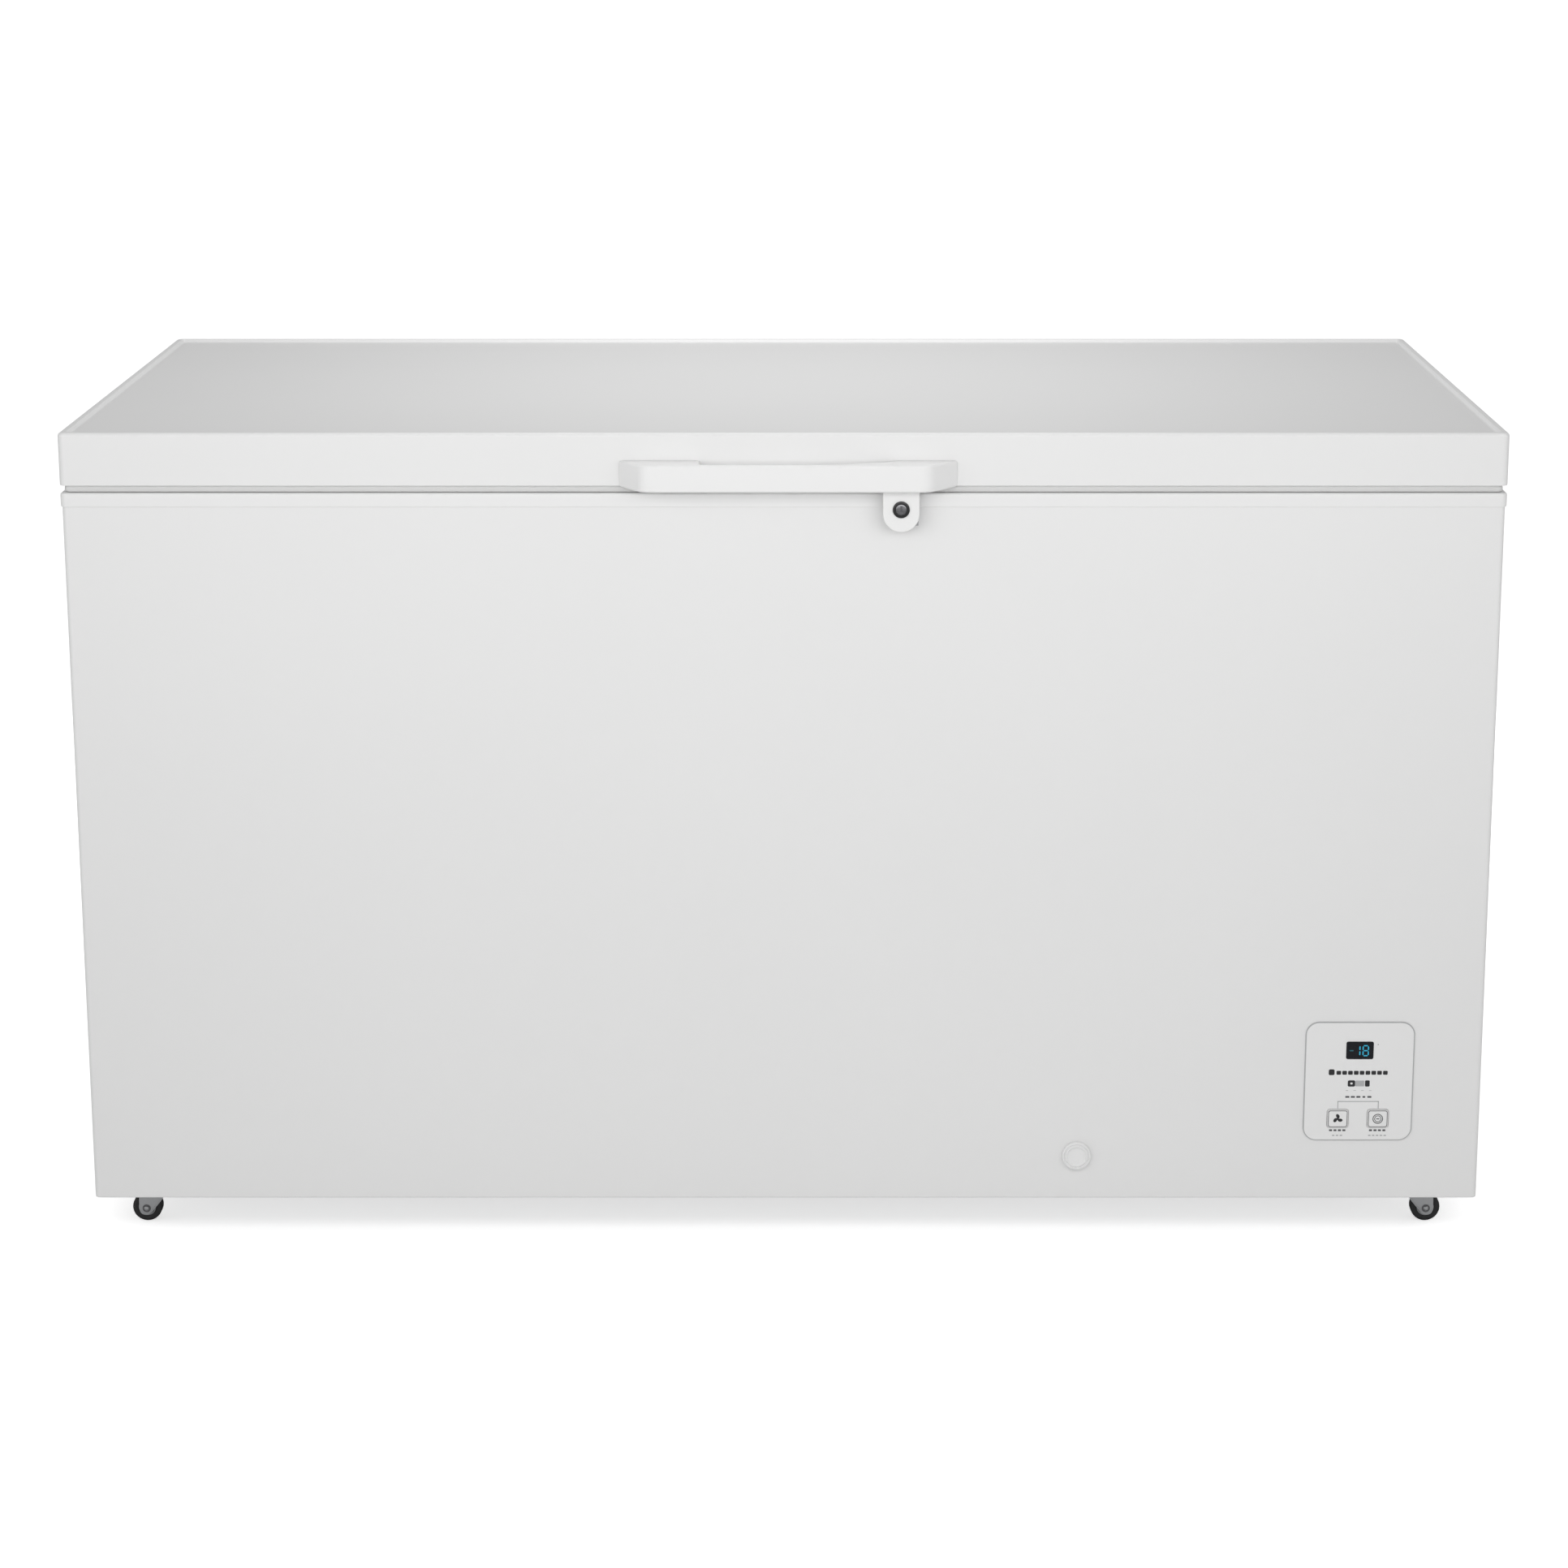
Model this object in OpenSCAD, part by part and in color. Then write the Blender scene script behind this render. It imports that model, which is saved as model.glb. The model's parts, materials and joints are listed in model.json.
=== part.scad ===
// Chest freezer: a foamed cabinet on swivel casters with a hinged, lockable lid.
// Millimetres. The origin is on the floor under the middle of the bounding box, +Z is up,
// -Y is the front (handle side) and +X is the user's right, where the compressor bay is.

/* [Cabinet] */
// Width over the lid and the rim
body_w = 1440; // [1400:10:1500]
// Depth of the lid and the rim, without the handle and the hinges
body_d = 700; // [680:5:740]
// Height from the floor to the top of the lid
total_h = 850; // [840:5:880]
// Thickness of the painted steel sheet
sheet = 0.8; // [0.6:0.1:0.9]

/* [Lid] */
// Height of the lid's outer skin
lid_h = 53; // [50:1:58]
// Height of the gasket between lid and rim
gasket_h = 7.4; // [7:0.2:8]
// Height of the plastic rim round the opening
rim_h = 14; // [12:0.5:18]

/* [Handle and lock] */
// How far the handle stands out from the lid
handle_reach = 36; // [34:1:40]
// Height of the handle's bar
handle_h = 27; // [24:1:32]

/* [Casters] */
// Wheel radius
wheel_r = 15.4; // [14:0.2:16]
// Distance from the swivel to the axle
caster_trail = 12; // [10:0.5:14]

/* [Control panel] */
// Sideways place of the panel's middle
panel_x = 592; // [585:1:600]
// Height of the panel's middle
panel_z = 174; // [170:1:180]

/* [Hidden] */

$fn = 48;
gap = 0.2;                  // air left between bonded sheets and foam
run_gap = 0.05;             // radial clearance of a running fit
hinge_reach = 20;           // how far the hinges stand out behind

// Front and back planes of the lid and the rim
mid_y = (handle_reach - hinge_reach) / 2;
front_y = mid_y - body_d / 2;
back_y = mid_y + body_d / 2;
half_w = body_w / 2;

// Heights
skirt_z = 46;               // cabinet's lower edge
pan_z = skirt_z + 14;
floor_z = 120;              // inside floor of the tub
step_z = 374;               // inside floor above the compressor bay
lid_z = total_h - lid_h;
rim_z = lid_z - gasket_h;
rim_low = rim_z - rim_h;
sheet_top = rim_z - 3.6;    // upper edge of the steel panels

// Insets from the outline of the lid and the rim
panel_in = 1.5;             // outer face of the steel panels
foam_in = panel_in + 1;
liner_in = 67.8;            // inner face of the tub
ledge_in = 58;              // inner edge of the rim's top
mouth_in = 70;              // inner edge of the rim's skirt
face_y = front_y + panel_in;
rear_y = back_y - panel_in;

panel_r = 4.6;              // radius of the cabinet's upright corners
rim_r = 6;                  // radius of the rim's and the lid's upright corners
tub_r = 40;                 // radius of the tub's upright corners
rim_t = 2.5;                // plastic thickness of the rim's top and ledge
ledge_z = rim_z - 13.7;     // top of the ledge that the baskets slide on
liner_t = 1;                // thickness of the tub's sheet
tub_top = ledge_z - rim_t - gap;

// Compressor bay
bay_x = 441;
bay_z = 318;
step_x = 395;               // tub's riser beside the bay

// Lid
skin_t = 1;
lid_plate = 2;              // thickness of the lid's inner liner
lip_h = 3.5;                // height of the raised edge round the lid's top
bulge_in = 66;              // inset of the part of the lid that hangs into the opening

// Hinges
hinge_x = 470;              // sideways place of each hinge
hinge_y = back_y + 10;
hinge_z = lid_z - 5;
pin_r = 4;
ear_t = 2.5;
ear_r = hinge_reach - 10;
base_ear = 26;              // inner face of a fixed ear, from the hinge's middle
arm_ear = 22;               // inner face of a moving ear, from the hinge's middle

// Handle outline, seen from above
handle_left = -164;
handle_right = 173.4;
handle_front_left = -139.5;
handle_front_right = 144.4;
handle_z = lid_z - 1;
handle_front = front_y - handle_reach;
grip_t = 11;                // thickness of the bar in front of the fingers
grip_left = -83;            // ends of the finger gap
grip_right = 112;

// Lock
lock_x = 116.6;
lock_z = lid_z - 20.4;
tab_r = 18.2;
tab_y = front_y - 20;       // front face of the lock's tab
tab_t = 5;
barrel_r = 7;
cam_y = front_y - 12;       // front face of the cam
cam_l = 17;

// Drain
drain_x = 301.7;
drain_z = 93.2;
drain_y = front_y + 105;    // place of the hole in the tub's floor
drain_r = 9;

// Baskets
basket_l = 300;
basket_drop = 205;
basket_wire = 3;
basket_in = 84;             // inset of the basket's long walls
rail_in = 64;               // inset of the rails that slide on the rim's ledge
basket_z = ledge_z + 0.3;
basket_y0 = front_y + basket_in;
basket_y1 = back_y - basket_in;

// Casters
caster_x = half_w - 57;
caster_front = front_y + 62;
caster_rear = back_y - 62;
fork_z = 46.2;              // top of the fork's swivel plate
fork_t = 2;
king_r = 4;
axle_r = 2.5;
wheel_w = 14;
hub_r = 9;
fork_in = 8.6;              // inner face of a fork leg, from the wheel's middle

// Control panel
panel_w = 112.6;
panel_h = 128.7;
panel_t = 1.6;
button_w = 22;
button_h = 20;
button_z = panel_z - 40.1;
button_dx = 20.7;
board_y = face_y + 11;      // front face of the circuit board

// ---- shared shapes ----

module block(x0, y0, z0, x1, y1, z1)
    translate([x0, y0, z0]) cube([x1 - x0, y1 - y0, z1 - z0]);

// A rectangle with round corners
module rounded(x0, y0, x1, y1, r) {
    translate([x0 + r, y0]) square([x1 - x0 - 2 * r, y1 - y0]);
    translate([x0, y0 + r]) square([x1 - x0, y1 - y0 - 2 * r]);
    for (x = [x0 + r, x1 - r]) for (y = [y0 + r, y1 - r]) translate([x, y]) circle(r = r);
}

module slab(x0, y0, x1, y1, r, z0, z1)
    translate([0, 0, z0]) linear_extrude(z1 - z0) rounded(x0, y0, x1, y1, r);

// The lid's outline inset by s, with corner radius r, from z0 to z1
module plate(s, r, z0, z1) slab(-half_w + s, front_y + s, half_w - s, back_y - s, r, z0, z1);

// A closed wall between the outline inset by s0 and the outline inset by s1
module ring(s0, r0, s1, r1, z0, z1) translate([0, 0, z0]) linear_extrude(z1 - z0) difference() {
    rounded(-half_w + s0, front_y + s0, half_w - s0, back_y - s0, r0);
    rounded(-half_w + s1, front_y + s1, half_w - s1, back_y - s1, r1);
}

// A section swept round the lid's outline: x is the distance out from the corner's centre
module swept(r) {
    x = half_w - r;
    y0 = front_y + r;
    y1 = back_y - r;
    for (c = [[x, y1, 0], [-x, y1, 90], [-x, y0, 180], [x, y0, 270]])
        translate([c.x, c.y, 0]) rotate([0, 0, c.z]) rotate_extrude(angle = 90) children();
    for (e = [[0, x, y1, y1 - y0], [180, x, -y0, y1 - y0], [-90, -y0, x, 2 * x], [90, y1, x, 2 * x]])
        rotate([0, 0, e[0]]) translate([e[1], e[2], 0]) rotate([90, 0, 0]) linear_extrude(e[3]) children();
}

// A rounded plate that faces the front, centred on x and z, from y0 to y1
module front_plate(x, z, w, h, r, y0, y1)
    translate([x, y1, z]) rotate([90, 0, 0]) linear_extrude(y1 - y0) rounded(-w / 2, -h / 2, w / 2, h / 2, r);

module rod_y(x, z, r, y0, y1)
    translate([x, y1, z]) rotate([90, 0, 0]) cylinder(r = r, h = y1 - y0);

module rod_x(y, z, r, x0, x1)
    translate([x0, y, z]) rotate([0, 90, 0]) cylinder(r = r, h = x1 - x0);

function unit(v) = v / norm(v);

// Points of the arc that rounds corner v between its neighbours a and b
function fillet(a, v, b, r, n = 6) = let (
    u1 = unit(a - v), u2 = unit(b - v), h = acos(u1 * u2) / 2,
    c = v + unit(u1 + u2) * r / sin(h),
    p1 = v + u1 * r / tan(h) - c, p2 = v + u2 * r / tan(h) - c,
    a1 = atan2(p1.y, p1.x), d = atan2(p2.y, p2.x) - a1,
    turn = d > 180 ? d - 360 : d < -180 ? d + 360 : d)
    [for (i = [0 : n]) c + r * [cos(a1 + turn * i / n), sin(a1 + turn * i / n)]];

// A closed outline [x, y, corner radius]
function smooth(p) = [for (i = [0 : len(p) - 1]) let (
    a = p[(i + len(p) - 1) % len(p)], b = p[(i + 1) % len(p)])
    each (p[i].z > 0 ? fillet([a.x, a.y], [p[i].x, p[i].y], [b.x, b.y], p[i].z) : [[p[i].x, p[i].y]])];

module straight(a, b, r) {
    d = b - a;
    translate(a) rotate([0, acos(d.z / norm(d)), atan2(d.y, d.x)]) cylinder(r = r, h = norm(d));
}

// A quarter bend at corner v, coming in along d1 and leaving along d2
module bend(v, d1, d2, radius, r) {
    n = cross(d1, d2);
    c = v + radius * (d2 - d1);
    multmatrix([[-d2.x, d1.x, n.x, c.x], [-d2.y, d1.y, n.y, c.y], [-d2.z, d1.z, n.z, c.z], [0, 0, 0, 1]])
        rotate_extrude(angle = 90) translate([radius, 0]) circle(r = r);
}

// A tube of radius r along points [x, y, z, bend radius] whose corners are all square
module tube(points, r) {
    last = len(points) - 1;
    p = [for (q = points) [q[0], q[1], q[2]]];
    for (i = [0 : last - 1]) {
        d = unit(p[i + 1] - p[i]);
        straight(p[i] + (i > 0 ? points[i][3] : 0) * d,
            p[i + 1] - (i < last - 1 ? points[i + 1][3] : 0) * d, r);
    }
    for (i = [1 : last - 1])
        bend(p[i], unit(p[i] - p[i - 1]), unit(p[i + 1] - p[i]), points[i][3], r);
}

// A screw on a face at y that looks along out (1 or -1), with a shank that goes t deep
module screw_y(x, z, y, out, t) difference() {
    union() {
        rod_y(x, z, 4, min(y, y + 2.2 * out), max(y, y + 2.2 * out));
        rod_y(x, z, 2, min(y, y - t * out), max(y, y - t * out));
    }
    for (a = [0, 90])
        translate([x, y + 2.2 * out, z]) rotate([0, a, 0]) cube([5, 2, 1], center = true);
}

// ---- cabinet ----

module front_panel() color("white") {
    difference() {
        block(-half_w + panel_in + panel_r, face_y, skirt_z,
            half_w - panel_in - panel_r, face_y + sheet, sheet_top);
        front_plate(panel_x, panel_z, panel_w - 14, panel_h - 14, 8, face_y - 5, face_y + 5);
        rod_y(drain_x, drain_z, drain_r + 2.1, face_y - 5, face_y + 5);
    }
    block(-half_w + 12, face_y + sheet, skirt_z, half_w - 12, face_y + 12, skirt_z + sheet);
}

// One end of the cabinet, with the upright corners that meet the front and the back panels
module side_sheet() {
    s = panel_in;
    intersection() {
        ring(s, panel_r, s + sheet, panel_r - sheet, skirt_z, sheet_top);
        block(half_w - s - panel_r, front_y - 1, 0, half_w + 1, back_y + 1, total_h);
    }
}

module left_side_panel() color("white") mirror([1, 0, 0]) side_sheet();

grille_y0 = -205;
grille_y1 = 225;
grille_z0 = 92;
grille_z1 = 282;

module right_side_panel() color("white") difference() {
    side_sheet();
    block(half_w - 6, grille_y0, grille_z0, half_w + 2, grille_y1, grille_z1);
}

cover_x0 = 452;
cover_x1 = 700;
cover_z0 = 60;
cover_z1 = 308;

module back_panel() color("white") {
    difference() {
        block(-half_w + panel_in + panel_r, rear_y - sheet, skirt_z,
            half_w - panel_in - panel_r, rear_y, sheet_top);
        block(cover_x0 + 10, rear_y - 5, cover_z0 + 10, cover_x1 - 10, rear_y + 5, cover_z1 - 10);
    }
    block(-half_w + 12, rear_y - 12, skirt_z, half_w - 12, rear_y - sheet, skirt_z + sheet);
}

module base_pan() color("silver") {
    plate(foam_in, panel_r - 1, pan_z, pan_z + sheet);
    for (y = [-200, 0, 200])
        block(-560, y + mid_y - 6, pan_z - 4, 560, y + mid_y + 6, pan_z);
}

module caster_rails() color("silver")
    for (side = [-1, 1]) translate([side * caster_x, 0, 0]) difference() {
        block(-34, front_y + 15, pan_z - 9, 34, back_y - 15, pan_z);
        block(-32.2, front_y + 13, pan_z - 7.2, 32.2, back_y - 13, pan_z + 1);
    }

module caster_plate(x, y) translate([x, y, 0]) {
    top = pan_z - 9;
    block(-23, -23, top - 2, 23, 23, top);
    difference() {
        translate([0, 0, fork_z + 0.3]) cylinder(r = 14, h = top - 2 - fork_z - 0.3);
        translate([0, 0, fork_z]) cylinder(r = 10, h = 10);
    }
    translate([0, 0, fork_z - fork_t - 1.8]) cylinder(r = king_r, h = top - fork_z + fork_t + 1.8);
    translate([0, 0, fork_z - fork_t - 1.8]) cylinder(r = 7, h = 1.5);
    for (dx = [-17.5, 17.5]) for (dy = [-17.5, 17.5])
        translate([dx, dy, top - 4]) cylinder(r = 3.4, h = 2.5);
}

module caster_plates() color("silver")
    for (side = [-1, 1]) for (y = [caster_front, caster_rear]) caster_plate(side * caster_x, y);

// The hollow of the tub: the deep part, and the part that runs on above the bay
module tub_shape(grow, low) {
    x0 = -half_w + liner_in - grow;
    y0 = front_y + liner_in - grow;
    y1 = back_y - liner_in + grow;
    slab(x0, y0, step_x + grow, y1, tub_r + grow, floor_z - low, step_z + 30);
    slab(x0, y0, -x0, y1, tub_r + grow, step_z - low, rim_z + 5);
}

condenser_depth = 6.6;      // room for a tube behind the steel panels
link_y = 226;               // place of the links between the evaporator's runs
module condenser_room() intersection() {
    difference() {
        plate(foam_in - 1, panel_r, 108, 742);
        slab(-half_w + foam_in + condenser_depth, front_y + foam_in + condenser_depth,
            half_w + 60, back_y - foam_in - condenser_depth, 21, 100, 750);
    }
    block(-half_w, front_y, 0, 432, back_y, total_h);
}

// Slot beside the tub where the tubes climb from the bay to the evaporator
module riser_room() block(half_w - liner_in + liner_t + gap, link_y - 30, bay_z - 2, 706, link_y + 40, 450);

module foam_insulation() color("khaki") difference() {
    plate(foam_in, panel_r - 1, pan_z + sheet + gap, rim_z - rim_t - gap);
    tub_shape(liner_t + gap, liner_t + gap);
    plate(ledge_in - rim_t - gap, tub_r + 7.7, tub_top, rim_z);
    block(bay_x, front_y, 0, half_w, back_y, bay_z);
    condenser_room();
    plate(liner_in - liner_t - 9.4, tub_r + 10.4, 412, 744);
    riser_room();
    block(400, front_y, 268, bay_x + 5, front_y + foam_in + condenser_depth, 292);
    block(400, back_y - foam_in - condenser_depth, 138, bay_x + 5, back_y, 162);
    rod_y(drain_x, drain_z, drain_r + 2.4, front_y, drain_y);
    translate([drain_x, drain_y, drain_z - drain_r - 4]) cylinder(r = drain_r + 3.2, h = 60);
}

module inner_liner() color("white") difference() {
    intersection() {
        tub_shape(liner_t, liner_t);
        block(-half_w, front_y, 0, half_w, back_y, tub_top);
    }
    tub_shape(0, 0);
    translate([drain_x, drain_y, floor_z - 5]) cylinder(r = drain_r - 1.5, h = 20);
}

module top_rim_frame() color("white") {
    a = tub_r + 5;
    b = tub_r - 2;
    ring(0, rim_r, 1.4, rim_r - 1.4, rim_low, rim_z - rim_t);
    ring(0, rim_r, ledge_in, a, rim_z - rim_t, rim_z);
    ring(ledge_in - rim_t, a + rim_t, ledge_in, a, ledge_z - rim_t, rim_z - rim_t);
    ring(ledge_in - rim_t, a + rim_t, mouth_in, b, ledge_z - rim_t, ledge_z);
    ring(mouth_in - 2, b + 2, mouth_in, b, ledge_z - 21, ledge_z - rim_t);
}

module bay_wall() color("silver") {
    y0 = front_y + 10;
    y1 = back_y - 10;
    top = bay_z - gap;
    block(bay_x + gap, y0, pan_z + sheet, bay_x + gap + sheet, y1, top);
    difference() {
        block(bay_x + gap, y0, top - sheet, half_w - 4, y1, top);
        riser_room();
    }
}

module side_grille() color("white") {
    x = half_w - panel_in - sheet;
    louvres = 11;
    pitch = (grille_z1 - grille_z0 - 16) / louvres;
    difference() {
        block(x - 9, grille_y0 + 0.5, grille_z0 + 0.5, x + sheet + 0.6, grille_y1 - 0.5, grille_z1 - 0.5);
        block(x - 10, grille_y0 + 8, grille_z0 + 8, x + 5, grille_y1 - 8, grille_z1 - 8);
    }
    difference() {
        block(x - 9, grille_y0 - 8, grille_z0 - 8, x - 0.3, grille_y1 + 8, grille_z1 + 8);
        block(x - 10, grille_y0 + 2, grille_z0 + 2, x + 1, grille_y1 - 2, grille_z1 - 2);
    }
    for (i = [0 : louvres - 1])
        translate([x - 4, grille_y0 + 4, grille_z0 + 8 + pitch * (i + 0.5)]) rotate([0, 35, 0])
            translate([-4.4, 0, -0.9]) cube([8.8, grille_y1 - grille_y0 - 8, 1.8]);
    for (y = [-60, 80])
        block(x - 8, y - 1.5, grille_z0 + 4, x - 0.5, y + 1.5, grille_z1 - 4);
}

function cover_screws() = [for (x = [cover_x0 + 5, (cover_x0 + cover_x1) / 2, cover_x1 - 5])
    for (z = [cover_z0 + 5, cover_z1 - 5]) [x, z]];

module rear_bay_cover() color("silver") difference() {
    block(cover_x0, rear_y, cover_z0, cover_x1, rear_y + 1, cover_z1);
    for (col = [0, 1]) for (i = [0 : 8])
        translate([cover_x0 + 28 + col * 102, rear_y - 1, cover_z0 + 52 + i * 20]) cube([90, 3, 7]);
    rod_y(cover_x0 + 40, cover_z0 + 28, 8, rear_y - 1, rear_y + 2);
    for (s = cover_screws()) rod_y(s.x, s.y, 2, rear_y - 1, rear_y + 2);
}

module cord_gland() color("#18191c") difference() {
    union() {
        rod_y(cover_x0 + 40, cover_z0 + 28, 8, rear_y - 6, rear_y + 1);
        rod_y(cover_x0 + 40, cover_z0 + 28, 11, rear_y + 1, rear_y + 4);
        rod_y(cover_x0 + 40, cover_z0 + 28, 11, rear_y - 6, rear_y);
        rod_y(cover_x0 + 40, cover_z0 + 28, 7, rear_y + 4, rear_y + 13);
    }
    rod_y(cover_x0 + 40, cover_z0 + 28, 3.6, rear_y - 7, rear_y + 14);
}

// ---- refrigeration ----

comp_x = 585;
comp_y = 150;
comp_z = pan_z + 22;
feet = [45, 135, 225, 315];

function arc(cx, cy, r, a0, a1, n = 8) =
    [for (i = [0 : n]) [cx + r * cos(a0 + (a1 - a0) * i / n), cy + r * sin(a0 + (a1 - a0) * i / n)]];

module compressor() color("#202225") {
    profile = concat([[0, 0]], arc(50, 26, 26, -90, 0), arc(44, 92, 32, 0, 72), [[0, 126]]);
    translate([comp_x, comp_y, comp_z]) {
        rotate_extrude() polygon(profile);
        difference() {
            translate([0, 0, 50]) cylinder(r = 79, h = 4);
            translate([0, 0, 49]) cylinder(r = 70, h = 6);
        }
        rod_x(0, 70, 5.5, 60, 88);
        rod_y(0, 70, 4, -90, -60);
    }
    for (a = feet)
        translate([comp_x, comp_y, comp_z - 4]) rotate([0, 0, a]) difference() {
            block(34, -17, 0, 104, 17, 4.4);
            translate([90, 0, -1]) cylinder(r = 9, h = 8);
        }
}

module at_feet() for (a = feet)
    translate([comp_x + 90 * cos(a), comp_y + 90 * sin(a), pan_z + sheet]) children();

module compressor_grommets() color("#15161a") at_feet() {
    low = comp_z - 4 - pan_z - sheet;
    difference() {
        union() {
            cylinder(r = 13, h = low - gap);
            cylinder(r = 8.7, h = low + 10);
            translate([0, 0, low + 4.6]) cylinder(r = 12, h = 5.4);
        }
        translate([0, 0, -1]) cylinder(r = 5.2, h = 60);
    }
}

module compressor_bolts() color("silver") at_feet() {
    top = comp_z + 6.2 - pan_z - sheet;
    cylinder(r = 4, h = top + 10);
    translate([0, 0, top]) cylinder(r = 10, h = 1.6);
    translate([0, 0, top + 1.6]) cylinder(r = 7.4, h = 5, $fn = 6);
}

module relay_cover() color("#2b2d31") {
    x = comp_x - 80;
    difference() {
        block(x - 30, comp_y - 32, comp_z + 30, x, comp_y + 32, comp_z + 92);
        block(x - 28, comp_y - 30, comp_z + 32, x + 1, comp_y + 30, comp_z + 90);
    }
    block(x - 37, comp_y - 16, comp_z + 38, x - 30, comp_y + 16, comp_z + 52);
}

drier_x = 480;
drier_y = -120;

module filter_drier() color("#b87040") translate([drier_x, drier_y, 150])
    rotate_extrude() polygon(concat([[0, 0], [3.5, 0], [3.5, 10]], arc(5.5, 19, 6, -60, 0, 4),
        arc(5.5, 81, 6, 0, 60, 4), [[3.5, 90], [3.5, 100], [0, 100]]));

module discharge_tube() color("#b87040") {
    y = comp_y - 110;
    z = comp_z + 70;
    rear = back_y - foam_in - 2.6;
    tube([[comp_x, comp_y - 90, z], [comp_x, y, z, 12], [comp_x, y, 262, 12], [490, y, 262, 12],
        [490, rear, 262, 12], [490, rear, 150, 12], [468, rear, 150]], 2.4);
}

riser_x = half_w - liner_in + liner_t + 4.5;

module suction_tube() color("#b87040") {
    z = comp_z + 70;
    tube([[comp_x + 88, comp_y, z], [comp_x + 106, comp_y, z, 12], [comp_x + 106, comp_y, 300, 12],
        [comp_x + 106, link_y - 20, 300, 12], [riser_x, link_y - 20, 300, 12], [riser_x, link_y - 20, 414]], 4);
}

evap_z = 432;
evap_pitch = 66;

module capillary_tube() color("#b87040") {
    x = drier_x;
    top = evap_z + 4 * evap_pitch;
    y = link_y - 13;
    tube([[x, drier_y, 250], [x, drier_y, 280, 8], [x + 60, drier_y, 280, 8], [x + 60, y, 280, 8],
        [riser_x, y, 280, 8], [riser_x, y, top, 8], [riser_x, link_y - 1, top]], 1.2);
}

// Level runs round three sides, joined at the front and the back in turn
module condenser_coil() color("#3a3a3c") {
    d = foam_in + 2.6;
    xl = -half_w + d;
    xr = 392;
    yf = front_y + d;
    yb = back_y - d;
    runs = 7;
    r = 14;
    body = [for (i = [0 : runs - 1]) let (z = 150 + i * 88) each i % 2 == 0
        ? [[i == 0 ? 468 : xr, yb, z, r], [xl, yb, z, r], [xl, yf, z, r],
            [i == runs - 1 ? 424 : xr, yf, z, r]]
        : [[xr, yf, z, r], [xl, yf, z, r], [xl, yb, z, r], [xr, yb, z, r]]];
    tube(concat(body, [[424, yf, 280, r], [drier_x, yf, 280, r], [drier_x, yf, 130, r],
        [drier_x, drier_y, 130, r], [drier_x, drier_y, 150, r]]), 2.4);
}

// Level runs round the tub, joined by short drops beside the riser
module evaporator_coil() color("#b0b4b8") {
    g = liner_t + 4.5;
    x = riser_x;
    y0 = front_y + liner_in - g;
    y1 = back_y - liner_in + g;
    r = 14;
    w = tub_r + g;
    body = [for (i = [0 : 4]) let (z = evap_z + i * evap_pitch) each i % 2 == 0
        ? [[x, link_y - (i == 0 ? 20 : 40), z, r], [x, y0, z, w], [-x, y0, z, w], [-x, y1, z, w],
            [x, y1, z, w], [x, link_y - (i == 4 ? 1 : 0), z, r]]
        : [[x, link_y, z, r], [x, y1, z, w], [-x, y1, z, w], [-x, y0, z, w], [x, y0, z, w],
            [x, link_y - 40, z, r]]];
    tube(concat([[x, link_y - 20, 414]], body), 4);
}

// ---- drain ----

module drain_hose() color("#9aa0a6") difference() {
    r = drain_r + 2;
    union() {
        rod_y(drain_x, drain_z, r, face_y, drain_y);
        translate([drain_x, drain_y, drain_z]) sphere(r = r);
        translate([drain_x, drain_y, drain_z]) cylinder(r = r, h = floor_z - liner_t - gap - drain_z);
    }
    rod_y(drain_x, drain_z, drain_r, face_y - 1, drain_y);
    translate([drain_x, drain_y, drain_z]) sphere(r = drain_r);
    translate([drain_x, drain_y, drain_z]) cylinder(r = drain_r, h = 40);
}

module drain_cap() color("white") {
    difference() {
        rod_y(drain_x, drain_z, 15, face_y - 4.6, face_y);
        rod_y(drain_x, drain_z, 12.6, face_y - 6, face_y - 3.6);
    }
    difference() {
        rod_y(drain_x, drain_z, 11.5, face_y - 4.6, face_y);
        rod_y(drain_x, drain_z, 9.4, face_y - 6, face_y - 3.8);
    }
    rod_y(drain_x, drain_z, drain_r - 0.35, face_y, face_y + 14);
}

module drain_bung() color("white") translate([drain_x, drain_y, 0]) {
    translate([0, 0, floor_z]) cylinder(r = 15, h = 3);
    translate([0, 0, floor_z - 10]) cylinder(r = drain_r - 1.85, h = 10);
    translate([-7, -1.5, floor_z + 3]) cube([14, 3, 9]);
}

// ---- control panel ----

module control_panel() color("white") {
    y = face_y - panel_t;
    difference() {
        front_plate(panel_x, panel_z, panel_w, panel_h, 14, y, face_y);
        for (s = [-1, 1])
            front_plate(panel_x + s * button_dx, button_z, button_w + 0.8, button_h + 0.8, 3.4, y - 1, face_y + 1);
    }
    difference() {
        front_plate(panel_x, panel_z, panel_w - 15, panel_h - 15, 7.5, face_y, face_y + 36);
        front_plate(panel_x, panel_z, panel_w - 19, panel_h - 19, 5.5, face_y - 1, face_y + 34);
    }
    for (dx = [-38, 38]) for (dz = [-48, 48])
        rod_y(panel_x + dx, panel_z + dz, 3, face_y, board_y);
}

module display_window() color("#05070a")
    front_plate(panel_x, panel_z + 33.9, 28.2, 19, 1.5, face_y - panel_t - 0.5, face_y - panel_t);

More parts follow.
